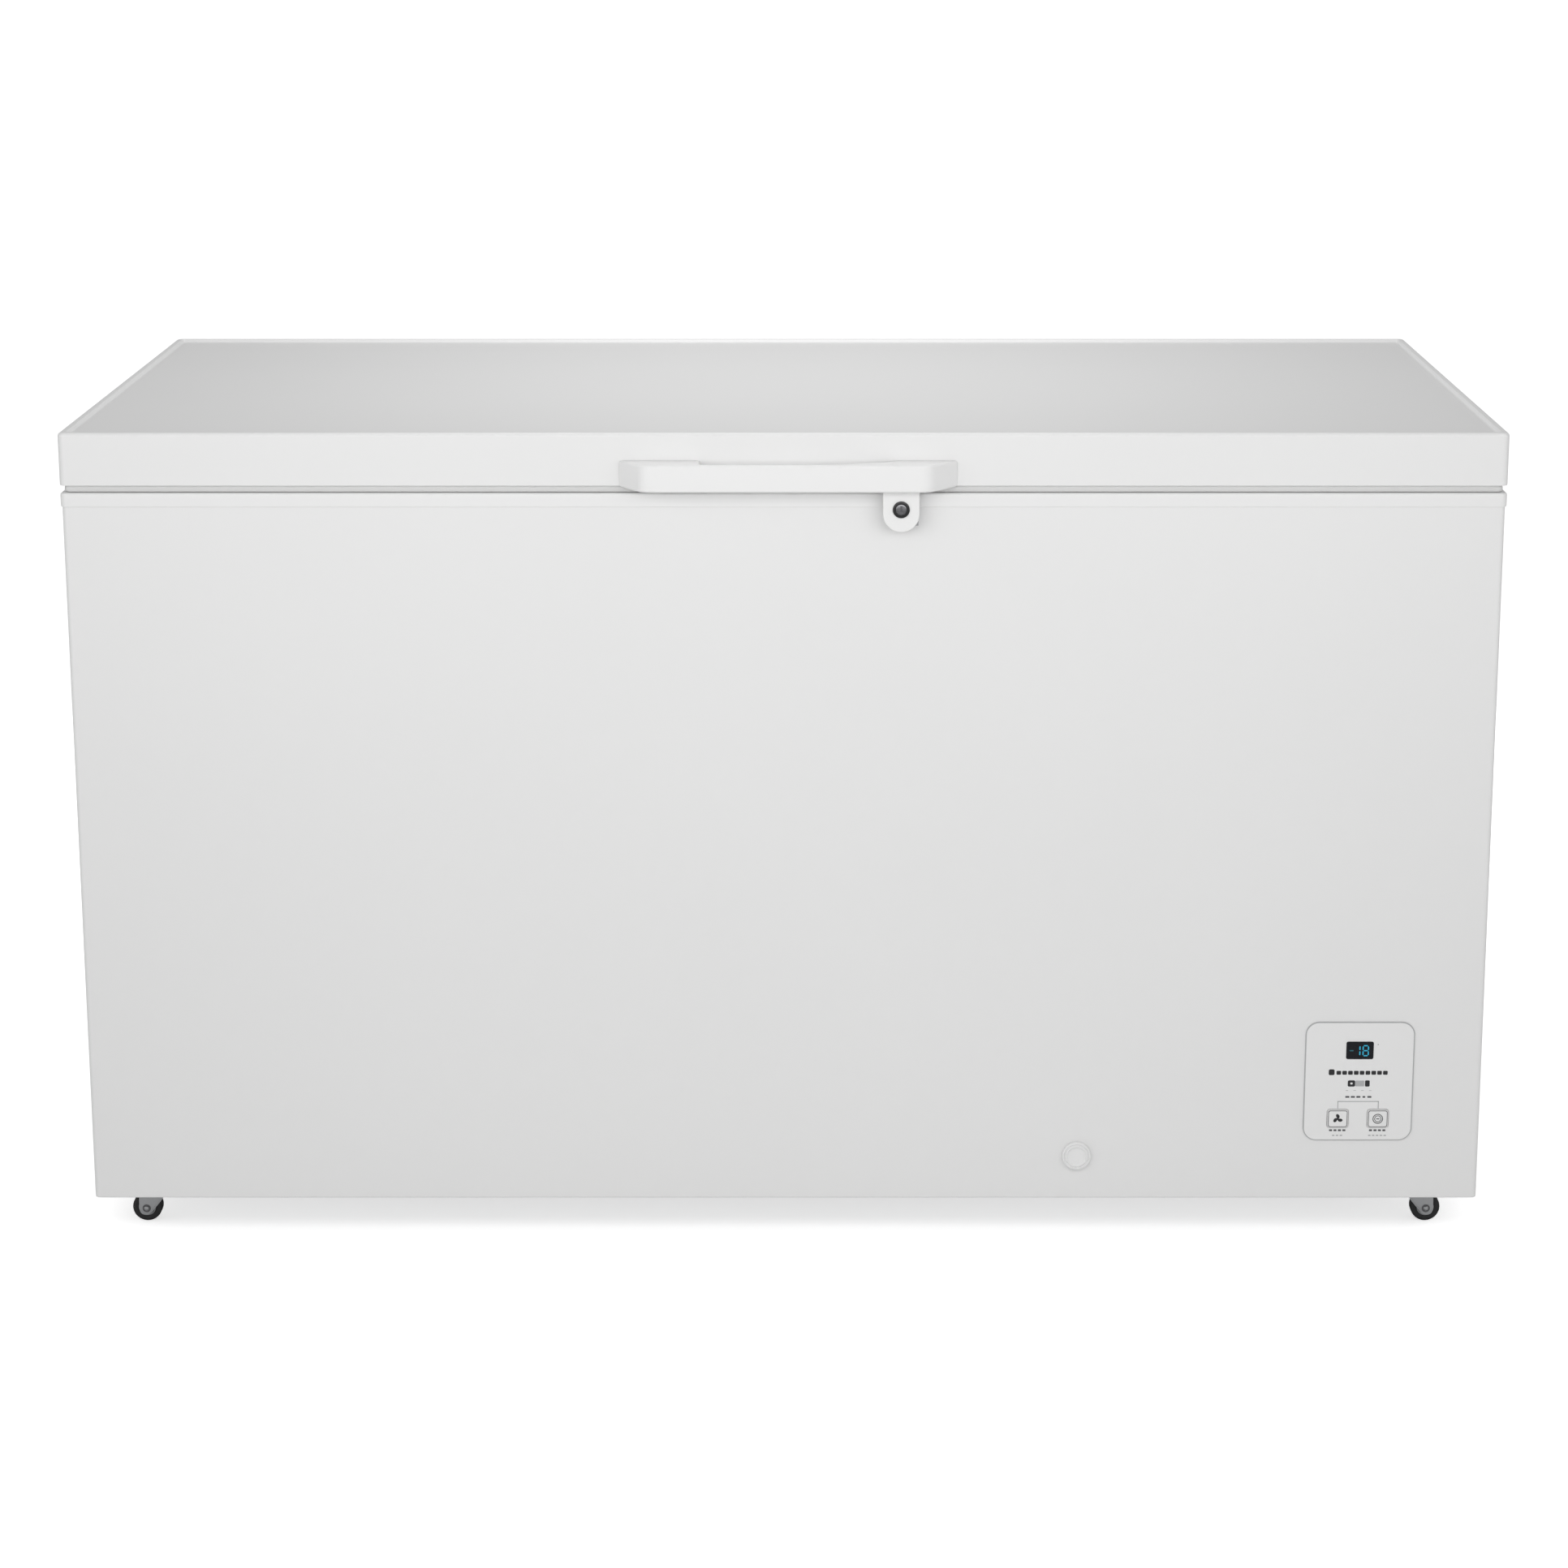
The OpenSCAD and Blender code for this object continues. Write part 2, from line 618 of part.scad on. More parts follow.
module control_board() color("#1e6b3a") {
    back = board_y + 1.6;
    front_plate(panel_x, panel_z, 88, 104, 3, board_y, back);
    for (s = [-1, 1])
        front_plate(panel_x + s * button_dx, button_z, 6, 6, 0.8, board_y - 3.6, board_y);
    front_plate(panel_x, panel_z + 33.9, 26, 16, 1, board_y - 8, board_y);
    block(panel_x - 34, back, panel_z - 10, panel_x - 4, back + 17, panel_z + 18);
    for (s = [0, 1]) block(panel_x + 6, back, panel_z - 12 + s * 24, panel_x + 25, back + 15, panel_z + 6 + s * 24);
    for (x = [-24, 4]) rod_y(panel_x + x, panel_z - 34, 5, back, back + 14);
}

module button(x) color("white") {
    front_plate(x, button_z, button_w, button_h, 3, face_y - panel_t - 1.2, face_y + 1.4);
    front_plate(x, button_z, button_w + 3, button_h + 3, 3, face_y + 0.2, face_y + 1.4);
    rod_y(x, button_z, 2.5, face_y + 1.4, board_y - 4.8);
}

module fridge_button() button(panel_x - button_dx);
module freeze_button() button(panel_x + button_dx);

// ---- lid ----

module lid_skin() color("white") {
    z1 = total_h;
    e = rim_r - 3.5;
    swept(rim_r) polygon(concat([[rim_r - 1, lid_z], [rim_r, lid_z]], arc(e, z1 - 3.5, 3.5, 0, 90),
        [[rim_r - 5, z1], [rim_r - 5, z1 - skin_t]], arc(e, z1 - 3.5, 2.5, 90, 0)));
    difference() {
        plate(4.6, 2, z1 - lip_h - skin_t, z1);
        plate(8.6, 2, z1 - lip_h, z1 + 1);
        ring(3, 2, 7.6, 2.4, z1 - lip_h - skin_t - 1, z1 - skin_t);
    }
}

module lid_liner() color("white") {
    plate(1.3, rim_r - 1.3, lid_z, lid_z + lid_plate);
    difference() {
        plate(bulge_in, 30, rim_z - 4, lid_z);
        plate(bulge_in + lid_plate, 28, rim_z - 2, lid_z);
    }
}

module lid_foam() color("khaki")
    plate(1.3, rim_r - 1.3, lid_z + lid_plate + gap, total_h - lip_h - skin_t - gap);

module lid_gasket() color("#e8e8e6") ring(4, 5, 34, 20, rim_z + 0.3, lid_z);

module grip_outline() polygon(smooth([
    [grip_left, front_y + 1, 0], [grip_left, handle_front + grip_t, 5],
    [grip_right - 58, handle_front + grip_t, 60], [grip_right - 8, front_y - 9, 20],
    [grip_right, front_y + 1, 0]]));

module handle() color("white") difference() {
    union() {
        translate([0, 0, handle_z]) linear_extrude(handle_h) difference() {
            polygon(smooth([[handle_left, front_y, 0], [handle_front_left, handle_front, 5],
                [handle_front_right, handle_front, 5], [handle_right, front_y, 0]]));
            grip_outline();
        }
        translate([lock_x, tab_y + tab_t, 0]) rotate([90, 0, 0]) linear_extrude(tab_t) {
            translate([0, lock_z - 4.6]) circle(r = tab_r);
            translate([-tab_r, lock_z - 4.6]) square([2 * tab_r, handle_z + 6 - lock_z + 4.6]);
        }
    }
    rod_y(lock_x, lock_z, barrel_r + run_gap, tab_y - 1, tab_y + tab_t + 1);
}

module lock_barrel() color("#3a3d41") difference() {
    union() {
        rod_y(lock_x, lock_z, 8.5, tab_y - 1.6, tab_y - 0.3);
        rod_y(lock_x, lock_z, barrel_r, tab_y - 0.3, cam_y);
        rod_y(lock_x, lock_z, 4, cam_y, cam_y + 6);
    }
    block(lock_x - 0.8, tab_y - 2, lock_z - 4, lock_x + 0.8, tab_y + 3, lock_z + 4);
}

module lock_cam() color("silver") {
    difference() {
        union() {
            rod_y(lock_x, lock_z, 6, cam_y, cam_y + 3);
            block(lock_x - 4, cam_y, lock_z - cam_l, lock_x + 4, cam_y + 3, lock_z);
        }
        rod_y(lock_x, lock_z, 4, cam_y - 1, cam_y + 4);
    }
    translate([lock_x, cam_y + 5.5, lock_z]) rotate([90, 0, 0]) difference() {
        cylinder(r = 6.6, h = 2.5, $fn = 6);
        translate([0, 0, -1]) cylinder(r = 4, h = 5);
    }
}

module lock_keeper() color("silver") {
    x0 = lock_x + 7;
    x1 = lock_x + 17.4;
    block(x0, front_y - 1.5, lock_z - 19, x1, face_y, rim_low - 1);
    block(x0, front_y - 3.5, lock_z - 19, x1, front_y - 1.5, lock_z + 7.4);
    block(x0, front_y - 15, lock_z + 5, x1, front_y - 1.5, lock_z + 7.4);
}

// ---- hinges ----

function base_screws() = [for (s = [-1, 1]) for (dx = [-20, 20]) for (z = [-92, -34])
    [s * hinge_x + dx, hinge_z + z]];
function arm_screws() = [for (s = [-1, 1]) for (dx = [-15, 15]) for (z = [14, 38])
    [s * hinge_x + dx, hinge_z + z]];

// An ear that reaches from a plate to the pin, seen from the side
module ear(x0, z_low, z_high, bore) {
    y0 = back_y + 0.4;
    difference() {
        union() {
            rod_x(hinge_y, hinge_z, ear_r, x0, x0 + ear_t);
            block(x0, y0, z_low, x0 + ear_t, hinge_y + 4, z_high);
        }
        rod_x(hinge_y, hinge_z, bore, x0 - 1, x0 + ear_t + 1);
    }
}

module hinge_bases() color("silver") for (s = [-1, 1]) difference() {
    union() {
        block(s * hinge_x - 28.5, rear_y, hinge_z - 104, s * hinge_x + 28.5, rear_y + 2, rim_low - 1);
        for (x = [-base_ear - ear_t, base_ear]) {
            ear(s * hinge_x + x, hinge_z - 104, hinge_z, pin_r);
            block(s * hinge_x + x, rear_y + 1, hinge_z - 104, s * hinge_x + x + ear_t, back_y + 1, rim_low - 1);
        }
    }
    for (p = base_screws()) rod_y(p.x, p.y, 2, rear_y - 1, rear_y + 5);
}

module hinge_arms() color("silver") for (s = [-1, 1]) difference() {
    union() {
        block(s * hinge_x - arm_ear - ear_t, back_y, hinge_z + 7, s * hinge_x + arm_ear + ear_t, back_y + 2.5,
            total_h - 9);
        for (x = [-arm_ear - ear_t, arm_ear])
            ear(s * hinge_x + x, hinge_z, hinge_z + 44, pin_r + run_gap);
    }
    for (p = arm_screws()) rod_y(p.x, p.y, 2, back_y - 1, back_y + 5);
}

module hinge_pins() color("silver") for (s = [-1, 1]) {
    rod_x(hinge_y, hinge_z, pin_r, s * hinge_x - base_ear - ear_t, s * hinge_x + base_ear + ear_t);
    for (x = [-base_ear - ear_t - 2, base_ear + ear_t])
        rod_x(hinge_y, hinge_z, 6, s * hinge_x + x, s * hinge_x + x + 2);
}

// Closely wound spring, drawn as rings that touch
module hinge_springs() color("#55585c") for (s = [-1, 1])
    translate([s * hinge_x - 19, hinge_y, hinge_z]) rotate([0, 90, 0]) rotate_extrude() {
        for (i = [0 : 13]) translate([6.6, 1.45 + 2.7 * i]) circle(r = 1.45);
        translate([6, 1]) square([1, 36]);
    }

module cabinet_screws() color("silver") {
    for (p = base_screws()) screw_y(p.x, p.y, rear_y + 2, 1, 2);
    for (p = cover_screws()) screw_y(p.x, p.y, rear_y + 1, 1, 1);
}

module lid_screws() color("silver")
    for (p = arm_screws()) screw_y(p.x, p.y, back_y + 2.5, 1, 2.5);

// ---- baskets ----

// A basket from x0: an open box of wire mesh as thick as its wires, with rails along its rim
module basket(x0) color("white") {
    w = basket_wire;
    x1 = x0 + basket_l;
    y0 = basket_y0;
    y1 = basket_y1;
    z1 = basket_z + 5;
    z0 = z1 - basket_drop;
    difference() {
        block(x0, y0, z0, x1, y1, z1);
        block(x0 + w, y0 + w, z0 + w, x1 - w, y1 - w, z1 + 1);
    }
    for (y = [front_y + rail_in, back_y - rail_in - 5]) block(x0, y, basket_z, x1, y + 5, basket_z + 5);
    for (x = [x0 + 20, x1 - 25]) {
        block(x, front_y + rail_in, basket_z, x + 5, y0 + 1, basket_z + 5);
        block(x, y1 - 1, basket_z, x + 5, back_y - rail_in, basket_z + 5);
    }
}

module left_basket() basket(-half_w + 82);
module right_basket() basket(half_w - 82 - basket_l);

// ---- casters ----

// Swivel fork with its riveted axle; side is -1 or 1, the way that the wheel trails
module fork(side, y) color("silver") translate([side * caster_x, y, 0]) {
    t = side * caster_trail;
    h = fork_z - fork_t / 2 - wheel_r;
    difference() {
        translate([0, 0, fork_z - fork_t]) cylinder(r = 13, h = fork_t);
        translate([0, 0, fork_z - fork_t - 1]) cylinder(r = king_r + run_gap, h = fork_t + 2);
    }
    for (s = [-1, 1]) difference() {
        translate([0, s > 0 ? fork_in + fork_t : -fork_in, 0]) rotate([90, 0, 0]) linear_extrude(fork_t) {
            polygon([for (p = [[3.6, h], [-7.6, 13], [-7.7, 0], [3.6, -6.4], [15.4, 8.6], [20.2, 16], [20.2, h]])
                [t - side * p[0], wheel_r + p[1]]]);
            translate([t, wheel_r]) circle(r = 7.7);
        }
    }
    rod_y(t, wheel_r, axle_r, -fork_in - fork_t - 1.4, fork_in + fork_t + 1.4);
    for (s = [-1, 1]) let (a = s * (fork_in + fork_t))
        rod_y(t, wheel_r, 4, min(a, a + s * 1.4), max(a, a + s * 1.4));
}

module hub(side, y) color("#8a8d91") translate([side * (caster_x + caster_trail), y, wheel_r]) difference() {
    rod_y(0, 0, hub_r, -wheel_w / 2, wheel_w / 2);
    for (s = [-1, 1]) difference() {
        rod_y(0, 0, hub_r - 1.6, s > 0 ? wheel_w / 2 - 2 : -wheel_w / 2 - 1, s > 0 ? wheel_w / 2 + 1 : -wheel_w / 2 + 2);
        rod_y(0, 0, 4.6, -wheel_w, wheel_w);
    }
    rod_y(0, 0, axle_r + run_gap, -wheel_w, wheel_w);
}

module tyre(side, y) color("#141416") translate([side * (caster_x + caster_trail), y, wheel_r])
    rotate([90, 0, 0]) rotate_extrude() polygon([[hub_r, -wheel_w / 2], [wheel_r - 1.6, -wheel_w / 2],
        [wheel_r - 0.4, -wheel_w / 2 + 0.6], [wheel_r, -wheel_w / 2 + 2.2], [wheel_r, wheel_w / 2 - 2.2],
        [wheel_r - 0.4, wheel_w / 2 - 0.6], [wheel_r - 1.6, wheel_w / 2], [hub_r, wheel_w / 2]]);

module fork_front_left() fork(-1, caster_front);
module fork_front_right() fork(1, caster_front);
module fork_rear_left() fork(-1, caster_rear);
module fork_rear_right() fork(1, caster_rear);
module hub_front_left() hub(-1, caster_front);
module hub_front_right() hub(1, caster_front);
module hub_rear_left() hub(-1, caster_rear);
module hub_rear_right() hub(1, caster_rear);
module tyre_front_left() tyre(-1, caster_front);
module tyre_front_right() tyre(1, caster_front);
module tyre_rear_left() tyre(-1, caster_rear);
module tyre_rear_right() tyre(1, caster_rear);

front_panel();
left_side_panel();
right_side_panel();
back_panel();
base_pan();
caster_rails();
caster_plates();
foam_insulation();
inner_liner();
top_rim_frame();
bay_wall();
side_grille();
rear_bay_cover();
compressor();
compressor_grommets();
compressor_bolts();
relay_cover();
filter_drier();
discharge_tube();
suction_tube();
capillary_tube();
condenser_coil();
evaporator_coil();
drain_hose();
control_panel();
display_window();
control_board();
lock_keeper();
hinge_bases();
hinge_pins();
hinge_springs();
cabinet_screws();
cord_gland();
lid_skin();
lid_foam();
lid_liner();
lid_gasket();
handle();
lid_screws();
hinge_arms();
lock_barrel();
lock_cam();
fridge_button();
freeze_button();
drain_cap();
drain_bung();
left_basket();
right_basket();
fork_front_left();
fork_front_right();
fork_rear_left();
fork_rear_right();
hub_front_left();
hub_front_right();
hub_rear_left();
hub_rear_right();
tyre_front_left();
tyre_front_right();
tyre_rear_left();
tyre_rear_right();
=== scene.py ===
"""Looks of a chest freezer: finishes, fine meshes and studio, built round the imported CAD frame."""

import json
import logging
import math
from collections.abc import Callable, Iterable, Sequence
from dataclasses import dataclass, field
from enum import Enum

import bmesh
import bpy
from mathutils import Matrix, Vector


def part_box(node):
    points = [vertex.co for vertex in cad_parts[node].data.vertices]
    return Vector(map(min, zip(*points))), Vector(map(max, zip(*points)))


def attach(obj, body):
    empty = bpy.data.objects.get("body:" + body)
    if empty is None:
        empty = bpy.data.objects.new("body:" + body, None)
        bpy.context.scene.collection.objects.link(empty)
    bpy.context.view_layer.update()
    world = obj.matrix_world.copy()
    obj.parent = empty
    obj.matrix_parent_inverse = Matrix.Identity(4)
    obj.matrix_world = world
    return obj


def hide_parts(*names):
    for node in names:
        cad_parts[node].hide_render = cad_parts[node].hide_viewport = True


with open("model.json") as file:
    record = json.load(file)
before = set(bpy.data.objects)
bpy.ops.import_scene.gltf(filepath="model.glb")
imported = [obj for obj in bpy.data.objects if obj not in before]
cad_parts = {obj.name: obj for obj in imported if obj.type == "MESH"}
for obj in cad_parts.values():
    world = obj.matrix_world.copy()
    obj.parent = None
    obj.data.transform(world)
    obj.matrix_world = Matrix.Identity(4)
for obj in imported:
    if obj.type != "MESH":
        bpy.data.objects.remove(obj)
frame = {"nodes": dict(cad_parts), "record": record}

MM = 0.001
LEAST_RADIUS = 1e-4     # what a point on the axis of a turned shape gets, in millimetres
SHARPEST_CORNER = 0.4   # the least radius of an outline's corners, in millimetres
ALONG_Y, ALONG_Z = Vector((0, 1, 0)), Vector((0, 0, 1))
log = logging.getLogger("chest_freezer")

Point = tuple[float, float]
Colour = tuple[float, float, float]
Place = tuple[float, float, float]


def box_mm(node: str) -> tuple[Vector, Vector]:
    """Corners of a CAD node in millimetres.

    Args:
        node: name of the CAD node.

    Returns:
        The lowest and the highest corner.
    """
    low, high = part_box(node)
    return low / MM, high / MM


def middle(low: Vector, high: Vector) -> Place:
    """Middle of a box.

    Args:
        low: its lowest corner.
        high: its highest corner.

    Returns:
        Its middle, as plain numbers.
    """
    return (low.x + high.x) / 2, (low.y + high.y) / 2, (low.z + high.z) / 2


# ---------------------------------------------------------------- finishes


class Grain(Enum):
    """How a surface's fine relief is made."""

    PEEL = "sprayed paint"
    MOULDED = "spark-eroded mould texture"
    BRUSHED = "drawn or brushed metal"
    SPANGLE = "galvanised crystals"
    CELLS = "foam cells"
    POLISHED = "nearly smooth"


def group_socket(tree: bpy.types.NodeTree, name: str, kind: str, value: object, out: bool = False) -> None:
    """Adds one socket to a node group.

    Args:
        tree: the group.
        name: the socket's name.
        kind: the socket's type without the NodeSocket prefix.
        value: its default, or None.
        out: True for an output.
    """
    socket = tree.interface.new_socket(name=name, in_out="OUTPUT" if out else "INPUT",
                                       socket_type="NodeSocket" + kind)
    if value is not None:
        socket.default_value = value


def set_inputs(node: bpy.types.Node, values: dict[str | int, object]) -> None:
    """Sets a node's own input values.

    Args:
        node: the node.
        values: the values by input.
    """
    for key, value in values.items():
        node.inputs[key].default_value = value


def add_node(tree: bpy.types.NodeTree, kind: str, operation: str = "",
             values: dict[str | int, object] | None = None) -> bpy.types.Node:
    """Adds a shader node.

    Args:
        tree: the tree that it goes in.
        kind: its type without the ShaderNode prefix.
        operation: what a maths node does, or nothing.
        values: the values by input.

    Returns:
        The node.
    """
    node = tree.nodes.new("ShaderNode" + kind)
    if operation:
        node.operation = operation
    set_inputs(node, values or {})
    return node


def add_group(tree: bpy.types.NodeTree, group: bpy.types.NodeTree,
              values: dict[str | int, object]) -> bpy.types.Node:
    """Adds a node that holds a shared group.

    Args:
        tree: the tree that it goes in.
        group: the shared group.
        values: the values by input.

    Returns:
        The node.
    """
    node = tree.nodes.new("ShaderNodeGroup")
    node.node_tree = group
    set_inputs(node, values)
    return node


def wire(tree: bpy.types.NodeTree, *links: tuple[bpy.types.NodeSocket, bpy.types.NodeSocket]) -> None:
    """Links sockets.

    Args:
        tree: the tree that they are in.
        links: pairs of an output and the input that it feeds.
    """
    for source, target in links:
        tree.links.new(source, target)


class SurfaceGroups:
    """The shader groups that every finish shares, each built once."""

    def __init__(self) -> None:
        """Builds the three groups."""
        self.tone = self._tone()
        self.relief = self._relief()
        self.cells = self._cells()

    @staticmethod
    def _start(name: str, inputs: dict[str, tuple[str, object]],
               outputs: dict[str, str]) -> tuple[bpy.types.NodeTree, bpy.types.Node, bpy.types.Node]:
        """Makes a group that has only its sockets.

        Args:
            name: the group's name.
            inputs: kind and default of each input.
            outputs: kind of each output.

        Returns:
            The tree, its input node and its output node.
        """
        tree = bpy.data.node_groups.new(name, "ShaderNodeTree")
        for label, (kind, value) in inputs.items():
            group_socket(tree, label, kind, value)
        for label, kind in outputs.items():
            group_socket(tree, label, kind, None, out=True)
        return tree, tree.nodes.new("NodeGroupInput"), tree.nodes.new("NodeGroupOutput")

    @staticmethod
    def _shade(tree: bpy.types.NodeTree, uneven: bpy.types.NodeSocket,
               inp: bpy.types.Node) -> bpy.types.NodeSocket:
        """Lightens and darkens the group's Colour by its Spread.

        Args:
            tree: the group.
            uneven: a value about 0.5.
            inp: the group's input node.

        Returns:
            The uneven colour.
        """
        centre = add_node(tree, "Math", "SUBTRACT", {1: 0.5})
        gain = add_node(tree, "Math", "MULTIPLY_ADD", {2: 1.0})
        shade = add_node(tree, "VectorMath", "SCALE")
        wire(tree, (uneven, centre.inputs[0]), (centre.outputs[0], gain.inputs[0]),
             (inp.outputs["Spread"], gain.inputs[1]), (inp.outputs["Colour"], shade.inputs[0]),
             (gain.outputs[0], shade.inputs["Scale"]))
        return shade.outputs["Vector"]

    def _tone(self) -> bpy.types.NodeTree:
        """Slow uneven tone over a surface.

        Returns:
            A group from Colour, Scale and Spread to Colour.
        """
        tree, inp, out = self._start(
            "uneven_tone",
            {"Colour": ("Color", (0.8, 0.8, 0.8, 1)), "Scale": ("Float", 4.0), "Spread": ("Float", 0.03)},
            {"Colour": "Color"})
        place = add_node(tree, "TexCoord")
        noise = add_node(tree, "TexNoise", values={"Detail": 4.0})
        wire(tree, (place.outputs["Object"], noise.inputs["Vector"]),
             (inp.outputs["Scale"], noise.inputs["Scale"]),
             (self._shade(tree, noise.outputs["Fac"], inp), out.inputs["Colour"]))
        return tree

    def _relief(self) -> bpy.types.NodeTree:
        """Fine relief and the roughness that goes with it.

        Returns:
            A group from Stretch, Scale, Depth, Roughness and Spread to Normal and Roughness.
        """
        tree, inp, out = self._start(
            "fine_relief",
            {"Stretch": ("Vector", (1, 1, 1)), "Scale": ("Float", 400.0), "Depth": ("Float", 0.1),
             "Roughness": ("Float", 0.4), "Spread": ("Float", 0.1)},
            {"Normal": "Vector", "Roughness": "Float"})
        place = add_node(tree, "TexCoord")
        stretch = add_node(tree, "VectorMath", "MULTIPLY")
        noise = add_node(tree, "TexNoise", values={"Detail": 3.0})
        bump = add_node(tree, "Bump", values={"Distance": 0.0004})
        centre = add_node(tree, "Math", "SUBTRACT", {1: 0.5})
        rough = add_node(tree, "Math", "MULTIPLY_ADD")
        rough.use_clamp = True
        wire(tree, (place.outputs["Object"], stretch.inputs[0]), (inp.outputs["Stretch"], stretch.inputs[1]),
             (stretch.outputs["Vector"], noise.inputs["Vector"]),
             (inp.outputs["Scale"], noise.inputs["Scale"]), (noise.outputs["Fac"], bump.inputs["Height"]),
             (inp.outputs["Depth"], bump.inputs["Strength"]),
             (noise.outputs["Fac"], centre.inputs[0]), (centre.outputs[0], rough.inputs[0]),
             (inp.outputs["Spread"], rough.inputs[1]), (inp.outputs["Roughness"], rough.inputs[2]),
             (bump.outputs["Normal"], out.inputs["Normal"]), (rough.outputs[0], out.inputs["Roughness"]))
        return tree

    def _cells(self) -> bpy.types.NodeTree:
        """Cells, for foam and for galvanised crystals.

        Returns:
            A group from Colour, Scale, Spread and Depth to Colour and Normal.
        """
        tree, inp, out = self._start(
            "cells",
            {"Colour": ("Color", (0.8, 0.8, 0.8, 1)), "Scale": ("Float", 200.0), "Spread": ("Float", 0.2),
             "Depth": ("Float", 0.2)},
            {"Colour": "Color", "Normal": "Vector"})
        place = add_node(tree, "TexCoord")
        cell = add_node(tree, "TexVoronoi")
        split = add_node(tree, "SeparateColor")
        bump = add_node(tree, "Bump", values={"Distance": 0.001})
        wire(tree, (place.outputs["Object"], cell.inputs["Vector"]),
             (inp.outputs["Scale"], cell.inputs["Scale"]), (cell.outputs["Color"], split.inputs["Color"]),
             (cell.outputs["Distance"], bump.inputs["Height"]),
             (inp.outputs["Depth"], bump.inputs["Strength"]),
             (self._shade(tree, split.outputs[0], inp), out.inputs["Colour"]),
             (bump.outputs["Normal"], out.inputs["Normal"]))
        return tree


@dataclass(frozen=True)
class Finish:
    """One procedural finish.

    Attributes:
        name: the material's name.
        colour: linear base colour.
        roughness: middle roughness.
        grain: the kind of fine relief.
        metallic: 1 for bare metal.
        coat: weight of a clear coat.
        spread: how much the tone varies.
        depth: strength of the relief.
        glow: emission strength, for a lit display.
        specular: specular level.
    """

    name: str
    colour: Colour
    roughness: float
    grain: Grain = Grain.MOULDED
    metallic: float = 0.0
    coat: float = 0.0
    spread: float = 0.03
    depth: float = 0.1
    glow: float = 0.0
    specular: float = 0.5

    def _fine(self) -> tuple[Colour, float, float]:
        """How the grain is stretched, scaled and spread in roughness.

        Returns:
            Stretch, scale and roughness spread.
        """
        return {
            Grain.PEEL: ((1.0, 1.0, 1.0), 260.0, 0.05),
            Grain.MOULDED: ((1.0, 1.0, 1.0), 1500.0, 0.12),
            Grain.BRUSHED: ((0.05, 1.0, 1.0), 1800.0, 0.25),
            Grain.SPANGLE: ((1.0, 1.0, 1.0), 500.0, 0.2),
            Grain.CELLS: ((1.0, 1.0, 1.0), 700.0, 0.1),
            Grain.POLISHED: ((1.0, 1.0, 1.0), 120.0, 0.04),
        }[self.grain]

    def build(self, groups: SurfaceGroups) -> bpy.types.Material:
        """Makes the material.

        Args:
            groups: the shared shader groups.

        Returns:
            The finished material.
        """
        material = bpy.data.materials.new(self.name)
        material.use_nodes = True
        tree = material.node_tree
        shader = tree.nodes["Principled BSDF"]
        set_inputs(shader, {"Metallic": self.metallic, "Coat Weight": self.coat, "Coat Roughness": 0.12,
                            "Specular IOR Level": self.specular})
        stretch, scale, rough_spread = self._fine()
        relief = add_group(tree, groups.relief, {"Stretch": stretch, "Scale": scale, "Depth": self.depth,
                                                 "Roughness": self.roughness, "Spread": rough_spread})
        wire(tree, (relief.outputs["Roughness"], shader.inputs["Roughness"]),
             (relief.outputs["Normal"], shader.inputs["Normal"]))
        tone = add_group(tree, groups.tone, {"Colour": (*self.colour, 1), "Spread": self.spread})
        last = tone.outputs["Colour"]
        if self.grain in (Grain.CELLS, Grain.SPANGLE):
            scale, spread, depth = (320.0, 0.12, 0.5) if self.grain is Grain.CELLS else (90.0, 0.3, 0.02)
            cells = add_group(tree, groups.cells, {"Scale": scale, "Spread": spread, "Depth": depth})
            wire(tree, (last, cells.inputs["Colour"]), (cells.outputs["Normal"], shader.inputs["Normal"]))
            last = cells.outputs["Colour"]
        wire(tree, (last, shader.inputs["Base Color"]))
        if self.glow:
            wire(tree, (last, shader.inputs["Emission Color"]))
            set_inputs(shader, {"Emission Strength": self.glow})
        material.diffuse_color = (*self.colour, 1)
        return material


